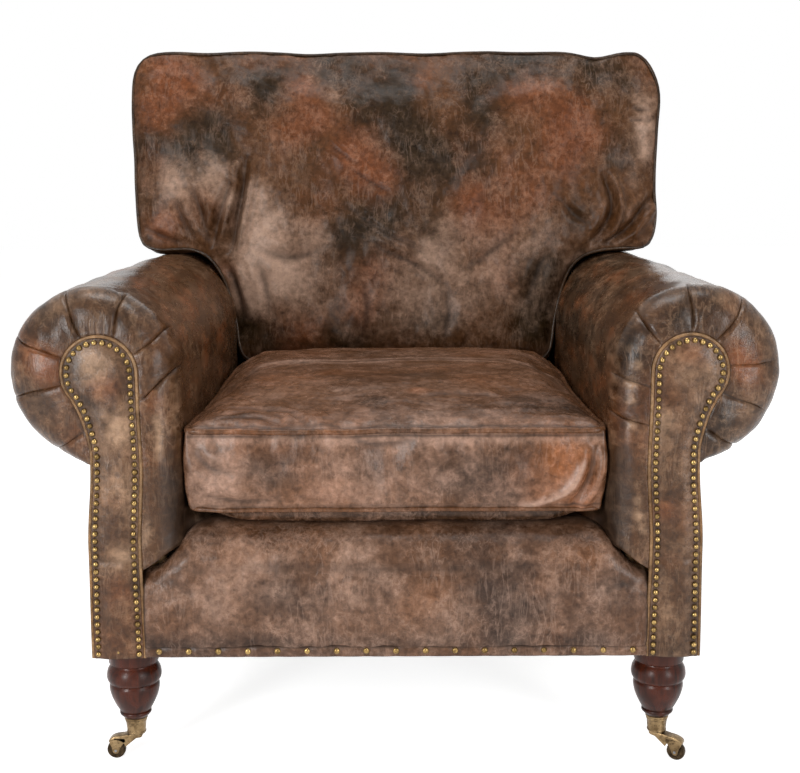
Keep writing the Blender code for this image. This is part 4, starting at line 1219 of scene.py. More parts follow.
def padded_block(name, half, low, high, radius):
    """A rounded, leaning block between the cushion's back and the outer back."""
    bm = bmesh.new()
    bmesh.ops.create_cube(bm, size=1)
    bmesh.ops.scale(bm, vec=(2 * half, 1.0, high - low), verts=bm.verts)
    bmesh.ops.translate(bm, vec=(0, 0.5, (low + high) / 2), verts=bm.verts)
    for vert in bm.verts:
        front = float(rest_y(vert.co.z)) + 0.0008
        rear = float(back_y(vert.co.z, 0.0062))
        vert.co.y = front if vert.co.y < 0.5 else rear
    in_front = 0.38                     # only edges that reach forward of this are rounded
    round_edges = [e for e in bm.edges if any(v.co.y <= in_front for v in e.verts)]
    bmesh.ops.bevel(bm, geom=round_edges, offset=radius, segments=6, profile=0.55, affect="EDGES")
    bmesh.ops.triangulate(bm, faces=[f for f in bm.faces if len(f.verts) > 4])
    made = from_bmesh(name, bm)
    fine = made.modifiers.new("fine", "REMESH")
    fine.mode = "VOXEL"
    fine.voxel_size = 0.008
    return bake(made)


def make_fixed_back():
    """Padded fixed back behind the cushion: its wide upper part and the part between the arms."""
    for name, half, low, high, radius, nodes in (
            ("fixed_back_top", REST_HIGH.x, 0.640, REST_HIGH.z, 0.024, ["inside_back"]),
            ("fixed_back_foot", INNER_X - 0.0010, REST_LOW.z, 0.66, 0.010, [])):
        made = padded_block(name, half, low, high, radius)
        points = get_points(made)
        swell = 0.0016 * waves(points, 0.13, 61) + 0.0007 * waves(points, 0.045, 62)
        swell = swell * falling(points[:, 1] - back_y(points[:, 2]), -0.03, -0.008)
        set_points(made, points + get_normals(made) * swell[:, None])
        made.data.shade_smooth()
        settle(made, "outside", nodes=nodes)


# ---------------------------------------------------------------- cushions

class Pattern:
    """A panel's pattern: cells of a grid, with the outline given by curves between its corners."""

    def __init__(self, cells, corners_and_curves):
        self.cells = cells
        self.loop = self.walk()
        nx, ny = cells.shape
        self.place = np.zeros((nx + 1, ny + 1, 2))
        self.used = np.zeros((nx + 1, ny + 1), dtype=bool)
        for i, j in zip(*np.nonzero(cells)):
            self.used[i:i + 2, j:j + 2] = True
        self.edge = np.zeros_like(self.used)
        for node in self.loop:
            self.edge[node] = True
        start = self.loop.index(corners_and_curves[0][0])
        self.loop = self.loop[start:] + self.loop[:start]
        marks = [self.loop.index(corner) for corner, _ in corners_and_curves] + [len(self.loop)]
        for (_, curve), a, b in zip(corners_and_curves, marks, marks[1:]):
            line = curve_through(curve, b - a + 1)
            for k in range(a, b):
                self.place[self.loop[k]] = line[k - a]
        self.relax()

    def walk(self):
        """Nodes round the outline, in order."""
        nx, ny = self.cells.shape
        follow_on = {}

        def filled(i, j):
            return 0 <= i < nx and 0 <= j < ny and self.cells[i, j]

        for i in range(nx):
            for j in range(ny):
                if not self.cells[i, j]:
                    continue
                if not filled(i, j - 1):
                    follow_on[(i, j)] = (i + 1, j)
                if not filled(i + 1, j):
                    follow_on[(i + 1, j)] = (i + 1, j + 1)
                if not filled(i, j + 1):
                    follow_on[(i + 1, j + 1)] = (i, j + 1)
                if not filled(i - 1, j):
                    follow_on[(i, j + 1)] = (i, j)
        loop = [next(iter(follow_on))]
        while len(loop) < len(follow_on):
            loop.append(follow_on[loop[-1]])
        return loop

    def relax(self):
        """Spread the inner nodes evenly, and blow up a height that is 0 on the outline."""
        free = self.used & ~self.edge
        spot = self.place
        spot[free] = spot[self.edge].mean(axis=0)
        rise = np.zeros(self.used.shape)
        for _ in range(2600):
            for field, source in ((spot, 0.0), (rise, 1.0)):
                mean = np.zeros_like(field)
                mean[1:-1, 1:-1] = (field[2:, 1:-1] + field[:-2, 1:-1] + field[1:-1, 2:] + field[1:-1, :-2]) / 4
                field[free] = mean[free] + source
        self.rise = np.sqrt(rise / rise.max())


def box_in(pattern, index, points, layers, side_bulge, out):
    """Rings of the boxing from the front panel's edge to the rear's; their points join the others."""
    loop = pattern.loop
    line = np.array([pattern.place[node] for node in loop])
    step = np.roll(line, -1, axis=0) - np.roll(line, 1, axis=0)
    away = np.stack([step[:, 1], -step[:, 0]], axis=1) / np.linalg.norm(step, axis=1)[:, None]
    rings = [[index["front", i, j] for i, j in loop]]
    for layer in range(1, layers):
        share = layer / layers
        push = side_bulge * math.sin(math.pi * share) ** 0.8
        rings.append(list(range(len(points), len(points) + len(loop))))
        for k, (i, j) in enumerate(loop):
            near = np.array(points[index["front", i, j]])
            far = np.array(points[index["rear", i, j]])
            points.append(tuple(near + (far - near) * share + out(away[k]) * push))
    rings.append([index["rear", i, j] for i, j in loop])
    return rings


def sew(name, pattern, front, rear, layers, side_bulge, out):
    """Front panel, rear panel and the boxing between them, as one closed cover.

    front, rear give a point from (a, b, rise); out is the boxing's outward push in (a, b).
    """
    index, points, faces = {}, [], []
    for panel, give in (("front", front), ("rear", rear)):
        for i, j in zip(*np.nonzero(pattern.used)):
            index[panel, i, j] = len(points)
            points.append(give(*pattern.place[i, j], pattern.rise[i, j]))
        for i, j in zip(*np.nonzero(pattern.cells)):
            quad = [index[panel, i + a, j + b] for a, b in ((0, 0), (1, 0), (1, 1), (0, 1))]
            faces.append(quad if panel == "front" else quad[::-1])
    rings = box_in(pattern, index, points, layers, side_bulge, out)
    count = len(pattern.loop)
    for upper, lower in zip(rings, rings[1:]):
        for k in range(count):
            n = (k + 1) % count
            faces.append((upper[n], upper[k], lower[k], lower[n]))
    made = new_piece(name, points, faces)
    outward(made, merge=False)
    return made, rings[0], rings[-1]


SOFT_LEATHER = {
    "quality": 5, "mass": 0.25, "tension_stiffness": 22, "compression_stiffness": 22, "shear_stiffness": 9,
    "bending_stiffness": 1.2, "use_pressure": True, "uniform_pressure_force": 4.0, "shrink_min": -0.02,
    "vertex_group_mass": "held",
}
INFLATE_FRAMES = 20


def inflate(made, held, cap):
    """Blow the cover up as cloth with its held points fixed; no point moves further than cap."""
    start = get_points(made)
    pins = made.vertex_groups.new(name="held")
    for weight in sorted(set(np.round(held[held > 0], 2))):
        pins.add([int(k) for k in np.nonzero(np.round(held, 2) == weight)[0]], float(weight), "REPLACE")
    soft = made.modifiers.new("inflate", "CLOTH")
    for key, value in SOFT_LEATHER.items():
        setattr(soft.settings, key, value)
    soft.settings.effector_weights.gravity = 0.0
    soft.point_cache.frame_start = 1
    soft.point_cache.frame_end = INFLATE_FRAMES
    scene = bpy.context.scene
    for number in range(1, INFLATE_FRAMES + 1):
        scene.frame_set(number)
    evaluated = made.evaluated_get(bpy.context.evaluated_depsgraph_get())
    found = np.empty(len(start) * 3)
    evaluated.data.vertices.foreach_get("co", found)
    moved = found.reshape(-1, 3) - start
    made.modifiers.clear()
    made.vertex_groups.clear()
    scene.frame_set(1)
    length = np.linalg.norm(moved, axis=1)
    scale = np.minimum(1.0, cap / np.maximum(length, 1e-9))
    set_points(made, start + moved * scale[:, None])


SEAM_CREASE = 0.75


def crease_loops(made, loops):
    """Keep seams crisp under subdivision."""
    layer = made.data.attributes.new("crease_edge", "FLOAT", "EDGE")
    pairs = set()
    for loop in loops:
        for a, b in zip(loop, loop[1:] + loop[:1]):
            pairs.add((min(a, b), max(a, b)))
    values = np.zeros(len(made.data.edges), dtype=np.float32)
    for edge in made.data.edges:
        if (min(edge.vertices), max(edge.vertices)) in pairs:
            values[edge.index] = SEAM_CREASE
    layer.data.foreach_set("value", values)


def add_welt(name, made, loop, finish, radius, lift):
    """A welt along a seam loop of a cushion, pushed out by lift."""
    line = get_points(made)[loop] + get_normals(made)[loop] * lift
    for _ in range(2):
        line = (np.roll(line, 1, axis=0) + 2 * line + np.roll(line, -1, axis=0)) / 4
    line = evenly(np.vstack([line, line[:1]]), len(loop) * 2 + 1)[:-1]
    follow(name, "welt", [line], finish, closed=True, Radius=radius)


def back_pattern():
    """T-shaped panel of the back cushion: a body between the arms and ears over them."""
    nx, ny = 63, 38
    left, right, ear = 10, 53, 13
    cells = np.ones((nx, ny), dtype=bool)
    cells[:left, :ear] = False
    cells[right:, :ear] = False
    foot = CUSHION_LOW.z + 0.0005
    top = CUSHION_HIGH.z + 0.0005
    wide = CUSHION_HIGH.x - 0.002
    low_wide = wide - 0.009
    waist = [(0.250, foot), (0.268, 0.474), (0.2755, 0.520), (0.287, 0.575), (0.304, 0.614), (0.325, 0.640)]
    outline = [
        ((left, 0), [(-0.250, foot), (0.0, foot - 0.001), (0.250, foot)]),
        ((right, 0), waist),
        ((right, ear), [(0.325, 0.640), (0.352, 0.651), (0.388, 0.6555), (0.416, 0.6535), (0.437, 0.661)]),
        ((nx, ear), [(0.437, 0.661), (low_wide, 0.684), (low_wide + 0.003, 0.76), (wide, 0.90),
                     (wide - 0.002, 0.945), (0.436, 0.974)]),
        ((nx, ny), [(0.436, 0.974), (0.418, top), (0.388, top - 0.003), (0.350, top - 0.015),
                    (0.318, top - 0.006), (0.28, top - 0.001), (0.15, top), (0.0, top - 0.001),
                    (-0.2, top + 0.001), (-0.40, top + 0.001), (-0.436, 0.975)]),
        ((0, ny), [(-0.436, 0.975), (-wide + 0.004, 0.950), (-wide + 0.001, 0.90), (-low_wide - 0.003, 0.76),
                   (-low_wide + 0.001, 0.690), (-0.437, 0.662)]),
        ((0, ear), [(-0.437, 0.662), (-0.418, 0.652), (-0.388, 0.6545), (-0.350, 0.652), (-0.325, 0.640)]),
        ((left, ear), [(-x, z) for x, z in reversed(waist)]),
    ]
    return Pattern(cells, outline)


def back_front(x, z, rise):
    """A point of the back cushion's front panel."""
    return x, float(rest_y(z)) - 0.153 - 0.024 * rise + 0.010 * float(smooth(z, 0.90, 0.98)), z


def back_rear(x, z, rise):
    """A point of the back cushion's rear panel."""
    return x * 0.985, float(rest_y(z)) - 0.003 - 0.004 * (1 - rise), z - 0.002 * float(smooth(z, 0.9, 0.98))


def make_back_cushion():
    """Loose T-shaped cushion: ears over the arms, folds where it is squeezed between them."""
    made, front_loop, rear_loop = sew(
        "back_cushion_cover", back_pattern(), back_front, back_rear, layers=9, side_bulge=0.0045,
        out=lambda away: np.array([away[0], 0.0, away[1]]))
    points = get_points(made)
    points += xyz(0.0020 * waves(points, 0.20, 71, 2), 0.0025 * waves(points, 0.22, 72, 2),
                  0.0015 * waves(points, 0.18, 73, 2))
    set_points(made, points)
    held = np.zeros(len(points))
    held[front_loop] = 0.9
    held[rear_loop] = 1.0
    held[points[:, 1] > rest_y(points[:, 2]) - 0.012] = 1.0
    high = points[:, 2] > CUSHION_HIGH.z - 0.030
    held[high] = np.maximum(held[high], 0.95)
    inflate(made, held, cap=0.008)
    crease_loops(made, [front_loop, rear_loop])
    subdivide(made, levels=2)
    shape_back_folds(made)
    limit_back(made)
    settle(made, "back", nodes=["back_cushion"])
    add_welt("back_cushion_front_piping", made, front_loop, "piping", radius=0.0029, lift=0.0002)
    add_welt("back_cushion_rear_piping", made, rear_loop, "piping", radius=0.0029, lift=0.0004)


# Folds of the back cushion's front: line in X and Z, depth, width and height of its lips
BACK_FOLDS = [
    ([(-0.254, 0.815), (-0.263, 0.754), (-0.274, 0.700), (-0.286, 0.640)], 0.0170, 0.0080, 0.60),
    ([(-0.279, 0.776), (-0.294, 0.737), (-0.305, 0.700), (-0.315, 0.655)], 0.0140, 0.0075, 0.60),
    ([(-0.349, 0.762), (-0.333, 0.713), (-0.320, 0.665)], 0.0110, 0.0080, 0.55),
    ([(-0.379, 0.740), (-0.366, 0.707), (-0.350, 0.670)], 0.0080, 0.0070, 0.50),
    ([(-0.432, 0.692), (-0.395, 0.675), (-0.355, 0.662)], 0.0040, 0.0060, 0.50),
    ([(0.355, 0.785), (0.372, 0.729), (0.360, 0.690), (0.334, 0.660)], 0.0150, 0.0070, 0.75),
    ([(0.445, 0.745), (0.419, 0.713), (0.396, 0.684)], 0.0100, 0.0070, 0.65),
    ([(0.422, 0.704), (0.382, 0.675), (0.345, 0.660)], 0.0080, 0.0070, 0.55),
    ([(0.331, 0.660), (0.308, 0.620), (0.288, 0.573)], 0.0060, 0.0070, 0.50),
    ([(-0.297, 0.637), (-0.275, 0.589), (-0.264, 0.532)], 0.0060, 0.0070, 0.50),
    ([(0.277, 0.742), (0.306, 0.712), (0.334, 0.693)], 0.0040, 0.0060, 0.50),
    ([(0.404, 0.888), (0.423, 0.887), (0.440, 0.884)], 0.0028, 0.0038, 0.50),
    ([(0.402, 0.868), (0.422, 0.869), (0.440, 0.866)], 0.0028, 0.0038, 0.50),
    ([(-0.122, 0.840), (-0.088, 0.812), (-0.055, 0.792)], 0.0018, 0.0040, 0.90),
    ([(-0.080, 0.793), (-0.042, 0.767), (-0.003, 0.748)], 0.0022, 0.0045, 0.90),
    ([(-0.095, 0.734), (-0.019, 0.683), (0.060, 0.640)], 0.0024, 0.0055, 0.80),
    ([(-0.045, 0.662), (0.024, 0.633), (0.095, 0.586)], 0.0030, 0.0080, 0.70),
    ([(-0.235, 0.655), (-0.180, 0.640), (-0.120, 0.655)], 0.0030, 0.0120, 0.60),
    ([(0.120, 0.620), (0.165, 0.650), (0.215, 0.690)], 0.0024, 0.0110, 0.60),
    ([(0.225, 0.560), (0.240, 0.610), (0.262, 0.655)], 0.0036, 0.0090, 0.50),
    ([(-0.215, 0.545), (-0.222, 0.590), (-0.236, 0.640)], 0.0030, 0.0090, 0.50),
    ([(-0.060, 0.500), (-0.050, 0.545), (-0.054, 0.600)], 0.0022, 0.0100, 0.50),
    ([(0.080, 0.500), (0.090, 0.540), (0.084, 0.590)], 0.0022, 0.0100, 0.50),
]
# Patches of the same panel: X, Z, radius and strength. The smoke list also holds painted shade low on the right,
# beside the arm, and the pale list is mostly painted sheen, with some wear.
BACK_RUST = [
    (-0.38, 0.95, 0.04, 0.9), (-0.41, 0.88, 0.04, 0.6), (-0.31, 0.92, 0.05, 0.5), (-0.16, 0.93, 0.03, 0.6),
    (-0.14, 0.88, 0.04, 0.9), (-0.19, 0.84, 0.04, 0.6), (-0.07, 0.82, 0.05, 0.8), (-0.04, 0.78, 0.04, 0.8),
    (0.05, 0.94, 0.03, 0.5), (0.22, 0.92, 0.04, 0.6), (0.29, 0.88, 0.05, 0.9), (0.29, 0.82, 0.05, 0.9),
    (0.20, 0.79, 0.04, 0.5), (0.34, 0.84, 0.03, 0.5), (0.13, 0.73, 0.04, 0.5), (0.23, 0.74, 0.04, 0.5),
    (0.16, 0.69, 0.06, 0.4), (-0.04, 0.62, 0.04, 0.7), (-0.06, 0.55, 0.04, 0.7), (-0.15, 0.52, 0.04, 0.5),
    (0.18, 0.60, 0.05, 0.4), (-0.40, 0.69, 0.03, 0.9), (-0.29, 0.62, 0.02, 0.7),
]
BACK_SMOKE_AND_SHADE = [
    (-0.33, 0.85, 0.06, 1.0), (-0.42, 0.84, 0.03, 0.6), (-0.37, 0.81, 0.03, 0.7), (-0.22, 0.93, 0.04, 0.8),
    (-0.10, 0.96, 0.04, 0.6), (-0.02, 0.90, 0.05, 0.8), (0.01, 0.94, 0.03, 0.8), (0.13, 0.93, 0.04, 0.8),
    (0.15, 0.88, 0.04, 0.9), (0.23, 0.97, 0.06, 0.7), (0.34, 0.97, 0.04, 0.9), (0.04, 0.83, 0.05, 0.8),
    (0.11, 0.80, 0.05, 0.9), (-0.14, 0.85, 0.02, 0.7), (-0.03, 0.70, 0.04, 0.9), (-0.09, 0.68, 0.03, 0.5),
    (0.39, 0.82, 0.04, 0.7), (0.25, 0.62, 0.04, 0.9), (0.23, 0.53, 0.05, 0.9), (0.31, 0.71, 0.03, 0.7),
    (-0.27, 0.52, 0.03, 0.9), (-0.19, 0.50, 0.04, 0.8), (-0.09, 0.50, 0.04, 0.7), (0.08, 0.54, 0.04, 0.6),
    (0.40, 0.94, 0.03, 0.6),
]
BACK_SHEEN_AND_WEAR = [
    (-0.37, 0.77, 0.04, 0.7), (-0.31, 0.78, 0.03, 0.9), (-0.29, 0.74, 0.02, 0.8), (-0.24, 0.75, 0.02, 0.7),
    (-0.22, 0.70, 0.04, 0.9), (-0.23, 0.63, 0.04, 1.0), (-0.18, 0.60, 0.04, 0.9), (-0.25, 0.57, 0.03, 0.7),
    (0.05, 0.57, 0.09, 0.30), (0.16, 0.57, 0.06, 0.1), (-0.14, 0.67, 0.03, 0.6), (0.09, 0.68, 0.04, 0.4),
    (0.17, 0.67, 0.04, 0.3), (0.18, 0.62, 0.04, 0.2), (0.425, 0.90, 0.02, 0.8), (0.428, 0.86, 0.02, 1.0),
    (0.43, 0.82, 0.02, 0.9), (-0.04, 0.76, 0.01, 0.5), (0.06, 0.64, 0.03, 0.4),
]


def shape_back_folds(made):
    """Press the folds of the back cushion's front panel and mark its colour patches, painted shade in its folds
    and painted sheen low on it.
    """
    points = get_points(made)
    normals = get_normals(made)
    face = np.clip(-normals[:, 1] * 1.3, 0, 1) * (points[:, 1] < rest_y(points[:, 2]) - 0.07)
    flat = points[:, [0, 2]]
    dent, crease = press_folds(flat, BACK_FOLDS)
    soft = 0.0030 * waves(points, 0.16, 75, 2) + 0.0013 * waves(points, 0.05, 76, 3)
    set_points(made, points + normals * ((dent + soft) * face)[:, None])
    # painted sheen low on the front panel; the rest of the cover is darker than its front panel
    low = 0.20 * falling(points[:, 2], 0.58, 0.80) * smooth(points[:, 2], 0.49, 0.57)
    set_marks(made, crease=0.7 * crease * face, rust=blobs(flat, BACK_RUST) * face,
              smoke=blobs(flat, BACK_SMOKE_AND_SHADE) * face + 0.5 * (1 - face), rub=(blobs(flat, BACK_SHEEN_AND_WEAR) + low) * face)


def blobs(flat, spots):
    """Soft round patches (x, y, radius, strength)."""
    total = np.zeros(len(flat))
    for x, y, radius, strength in spots:
        total += strength * np.exp(-((flat[:, 0] - x) ** 2 + (flat[:, 1] - y) ** 2) / radius ** 2)
    return total


def limit_back(made):
    """Keep the cushion off the fixed back, the arms and the seat."""
    points = get_points(made)
    x, y, z = points.T
    points[:, 1] = np.minimum(y, rest_y(z) - 0.0008)
    between = np.clip((z - ROLL_Z) / ROLL_RISE, 0, 0.999)
    inside = ROLL_X - ROLL_R * np.sqrt(1 - between ** 2) - CLEAR
    inside = np.where(z < ROLL_Z, INNER_X - CLEAR, inside)
    over = np.clip((np.abs(x) - INNER_X) / ROLL_R, 0, 1)
    roof = ROLL_Z + ROLL_RISE * np.sqrt(np.clip(1 - (1 - over) ** 2, 0, 1)) + 0.0015
    low = (z < ROLL_Z + ROLL_RISE) & (np.abs(x) > inside)
    body = low & (z < ROLL_Z + 0.055)
    points[:, 0] = np.where(body, np.sign(x) * inside, points[:, 0])
    ear = low & ~body
    points[:, 2] = np.where(ear, np.maximum(z, roof), points[:, 2])
    points[:, 2] = np.maximum(points[:, 2], CUSHION_LOW.z)
    set_points(made, points)


SEAT_HALF = 0.2700
SEAT_FRONT = SEAT_LOW.y + 0.0035
SEAT_REAR = SEAT_HIGH.y - 0.004
SEAM_Z = 0.4565                         # upper seam of the seat's boxing
LOWER_Z = 0.354                         # lower seam


def seat_pattern():
    """Panel of the seat cushion, seen from above."""
    nx, ny = 42, 52
    flank = [(SEAT_HALF - 0.008, SEAT_FRONT + 0.003), (SEAT_HALF + 0.001, SEAT_FRONT + 0.018),
             (SEAT_HALF + 0.002, -0.20), (SEAT_HALF - 0.004, 0.10), (SEAT_HALF - 0.012, SEAT_REAR)]
    other_flank = [(-x, y) for x, y in reversed(flank)]
    front = [other_flank[-1], (-SEAT_HALF * 0.5, SEAT_FRONT - 0.002), (0, SEAT_FRONT),
             (SEAT_HALF * 0.5, SEAT_FRONT - 0.001), flank[0]]
    rear = [flank[-1], (0.0, SEAT_REAR), other_flank[0]]
    outline = [((0, 0), front), ((nx, 0), flank), ((nx, ny), rear), ((0, ny), other_flank)]
    return Pattern(np.ones((nx, ny), dtype=bool), outline)


def seat_upper(x, y, rise):
    """A point of the seat's top: crowned, sagging at its sides and flat under the back cushion."""
    side_sag = 0.010 * float(smooth(y, SEAT_FRONT + 0.02, SEAT_FRONT + 0.20))
    side_sag *= 1 - float(smooth(y, -0.15, 0.05))
    crown = (0.016 + 0.022 * float(smooth(y, -0.47, -0.22))) * rise ** 0.55
    z = SEAM_Z - side_sag * (1 - rise) + crown
    return x, y, z - max(0.0, z - SEAM_Z - 0.002) * float(smooth(y, 0.055, 0.125))


def seat_lower(x, y, rise):
    """A point of the seat's underside, with a soft belly along its front edge."""
    inward = y - SEAT_FRONT
    corner = float(smooth(SEAT_HALF - abs(x), 0.0, 0.075))
    drop = 0.020 * float(smooth(inward, -0.001, 0.012)) * corner
    drop = drop * (1 - 0.5 * float(smooth(inward, 0.02, 0.045)))
    bulge = 0.011 * math.exp(-((inward - 0.012) / 0.010) ** 2) * corner
    return x * 0.99, y + 0.003 - bulge, LOWER_Z - max(drop, 0.012 * min(1.0, rise * 1.7))


def make_seat_cushion():
    """Loose boxed cushion with a crowned top, a soft belly and two welts."""
    made, top_loop, low_loop = sew(
        "seat_cushion_cover", seat_pattern(), seat_upper, seat_lower, layers=8, side_bulge=0.0030,
        out=lambda away: np.array([away[0], away[1], 0.0]))
    points = get_points(made)
    points[:, 2] += 0.0012 * waves(points, 0.22, 81, 2)
    points[:, 1] += 0.0010 * waves(points, 0.16, 82, 2)
    set_points(made, points)
    held = np.zeros(len(points))
    held[top_loop] = 0.9
    held[low_loop] = 0.9
    held[points[:, 2] < LOWER_Z - 0.006] = 1.0
    inflate(made, held, cap=0.006)
    crease_loops(made, [top_loop, low_loop])
    subdivide(made, levels=2)
    shape_seat_folds(made)
    limit_seat(made)
    settle(made, "seat", nodes=["seat_cushion"])
    add_welt("seat_upper_piping", made, top_loop, "seat", radius=0.0040, lift=0.0006)
    add_welt("seat_lower_piping", made, low_loop, "seat", radius=0.0030, lift=0.0006)


# Folds of the seat's top in X and Y, and of its front boxing in X and Z
SEAT_TOP_FOLDS = [
    ([(-0.210, -0.112), (-0.148, -0.084), (-0.070, -0.090), (0.010, -0.066), (0.115, -0.072), (0.225, -0.108)],
     0.0034, 0.0070, 0.80),
    ([(-0.158, -0.385), (-0.135, -0.405), (-0.112, -0.440)], 0.0030, 0.0045, 0.70),
    ([(-0.235, -0.425), (-0.190, -0.415), (-0.140, -0.432)], 0.0026, 0.0045, 0.60),
    ([(-0.230, -0.375), (-0.187, -0.380), (-0.140, -0.400)], 0.0022, 0.0050, 0.60),
    ([(-0.245, -0.30), (-0.225, -0.20), (-0.215, -0.08)], 0.0022, 0.0140, 0.50),
    ([(0.245, -0.28), (0.228, -0.18), (0.220, -0.05)], 0.0020, 0.0140, 0.50),
    ([(-0.12, -0.19), (0.00, -0.22), (0.12, -0.20)], 0.0016, 0.0140, 0.50),
    ([(0.02, -0.36), (0.10, -0.33), (0.19, -0.34)], 0.0014, 0.0080, 0.50),
    ([(-0.09, 0.030), (0.02, 0.022), (0.13, 0.034)], 0.0020, 0.0080, 0.60),
]
SEAT_BOX_FOLDS = [
    ([(0.258, 0.440), (0.253, 0.405), (0.244, 0.380), (0.228, 0.354)], 0.0070, 0.0065, 0.95),
    ([(0.165, 0.356), (0.202, 0.368), (0.226, 0.386), (0.243, 0.416)], -0.0050, 0.0060, 0.00),
    ([(-0.262, 0.436), (-0.240, 0.412), (-0.205, 0.402)], 0.0030, 0.0070, 0.70),
    ([(-0.258, 0.376), (-0.20, 0.366), (-0.14, 0.368)], 0.0024, 0.0060, 0.70),
    ([(-0.06, 0.450), (-0.02, 0.440), (0.03, 0.446)], 0.0012, 0.0060, 0.60),
]
# Colour patches of the seat's top in X and Y and of its front boxing in X and Z, with radius and strength; the
# boxing's last two pale patches are a painted highlight on a fold's ridge
SEAT_TOP_RUST = [(0.03, -0.32, 0.02, 0.9), (-0.09, -0.19, 0.03, 0.5), (-0.18, -0.24, 0.03, 0.5),
                 (0.11, -0.24, 0.03, 0.4), (0.22, -0.19, 0.02, 0.3)]
SEAT_TOP_SMOKE = [(-0.03, -0.37, 0.02, 0.9), (0.18, -0.36, 0.05, 0.9), (0.24, -0.38, 0.04, 0.9),
                  (0.10, -0.40, 0.03, 0.5), (-0.20, -0.41, 0.04, 0.5), (-0.16, 0.04, 0.04, 0.4)]
SEAT_BOX_RUST = [(0.226, 0.407, 0.03, 1.1), (0.190, 0.367, 0.02, 0.6), (0.240, 0.367, 0.02, 0.9),
                 (-0.08, 0.38, 0.04, 0.3), (0.207, 0.446, 0.03, 0.5)]
SEAT_BOX_SMOKE = [(-0.16, 0.41, 0.03, 0.7), (-0.03, 0.41, 0.02, 0.3), (0.07, 0.40, 0.03, 0.5),
                  (0.13, 0.39, 0.04, 0.6), (0.16, 0.43, 0.03, 0.4)]
SEAT_BOX_WEAR_AND_SHEEN = [(-0.23, 0.41, 0.04, 0.54), (-0.25, 0.43, 0.02, 0.42), (-0.24, 0.37, 0.02, 0.54),
                 (-0.08, 0.43, 0.04, 0.3), (0.03, 0.44, 0.04, 0.24), (-0.05, 0.38, 0.06, 0.24),
                 (0.222, 0.392, 0.012, 0.6), (0.236, 0.41, 0.008, 0.54)]


def shape_seat_folds(made):
    """Folds and colour of the seat's top and of its front boxing, with a painted highlight on a fold's ridge and
    painted shade along seams, behind the front welt and under the front.
    """
    points = get_points(made)
    normals = get_normals(made)
    x, y, z = points.T
    upper = np.clip(normals[:, 2] * 1.4 - 0.2, 0, 1) * (z > LOWER_Z + 0.05)
    front = np.clip(-normals[:, 1] * 1.4 - 0.3, 0, 1) * (z > LOWER_Z - 0.002) * (y < SEAT_FRONT + 0.03)
    flat, wall = points[:, :2], points[:, [0, 2]]
    dent, crease = press_folds(flat, SEAT_TOP_FOLDS)
    box_dent, box_crease = press_folds(wall, SEAT_BOX_FOLDS)
    soft = 0.0022 * waves(points, 0.13, 84, 2) + 0.0010 * waves(points, 0.04, 85, 3)
    quiet = falling(y, 0.05, 0.12)
    set_points(made, points + normals * ((dent + soft) * upper * quiet + (box_dent + 0.5 * soft) * front)[:, None])
    gap = along_line(flat, curve_through(SEAT_TOP_FOLDS[0][0], 24))[0]
    ridge = along_line(wall, curve_through(SEAT_BOX_FOLDS[1][0], 24))[0]
    # pale behind the top's long fold and under the upper seam; a painted highlight on the boxing fold's ridge
    rub = (0.5 * hill(gap - 0.012, 0.008) + 0.12) * upper
    rub += (0.22 + 0.5 * blobs(wall, SEAT_BOX_WEAR_AND_SHEEN) + 0.8 * hill(ridge, 0.0045)) * front
    rub += 0.35 * hill(z - SEAM_Z + 0.010, 0.006) * front
    # painted shade along the boxing's seams, behind the front welt on the top and under the cushion's front
    seam_shade = hill(z - SEAM_Z + 0.0050, 0.0016) + hill(z - LOWER_Z - 0.0045, 0.0016)
    above = hill(y - SEAT_FRONT - 0.0065, 0.0020) * upper
    under = np.where((z < LOWER_Z) & (y < SEAT_FRONT + 0.03), 0.75, 0.0)
    set_marks(made, rub=rub, rust=blobs(flat, SEAT_TOP_RUST) * upper + blobs(wall, SEAT_BOX_RUST) * front,
              smoke=blobs(flat, SEAT_TOP_SMOKE) * upper + blobs(wall, SEAT_BOX_SMOKE) * front + under,
              crease=crease * upper * 0.5 + box_crease * front * 0.8 + 0.8 * seam_shade * front + 0.7 * above)


def limit_seat(made):
    """Keep the seat between the arms, above its deck and under the back cushion."""
    points = get_points(made)
    points[:, 0] = np.clip(points[:, 0], -INNER_X + CLEAR, INNER_X - CLEAR)
    overhang = 0.014 * falling(points[:, 1], SEAT_LOW.y + 0.008, SEAT_LOW.y + 0.030)
    points[:, 2] = np.maximum(points[:, 2], DECK_TOP + 0.0008 - overhang)
    points[:, 1] = np.minimum(points[:, 1], rest_y(points[:, 2]) - 0.0010)
    ceiling = CUSHION_LOW.z - 0.0008 + 0.034 * falling(points[:, 1], 0.070, 0.130)
    points[:, 2] = np.minimum(points[:, 2], ceiling)
    set_points(made, points)


# ---------------------------------------------------------------- legs and castors

LEG_X = (LEG_LOW.x + LEG_HIGH.x) / 2
LEG_Y = (LEG_LOW.y + LEG_HIGH.y) / 2
WHEEL_R = 0.0125
WHEEL_HALF = 0.0045
TRAIL = 0.028
AXLE_R = 0.0018
FORK_HALF = WHEEL_HALF + 0.0029
CASTOR_ANGLE = {"left": math.pi, "right": math.radians(-28)}


def turned(name, profile, steps, closed=False):
    """A lathe shape about Z from (radius, z) points; an open profile starts and ends on the axis."""
    profile = [p for p in profile if closed or p[0] > 0]
    angles = np.linspace(0, 2 * math.pi, steps, endpoint=False)
    points = [(r * math.cos(a), r * math.sin(a), z) for r, z in profile for a in angles]
    faces = grid_faces(len(profile), steps, wrap=True)
    if closed:
        last = (len(profile) - 1) * steps
        faces += [(last + k, last + (k + 1) % steps, (k + 1) % steps, k) for k in range(steps)]
    else:
        faces.append(tuple(range(steps)))
        faces.append(tuple(range(len(points) - 1, len(points) - 1 - steps, -1)))
    return outward(new_piece(name, points, faces))


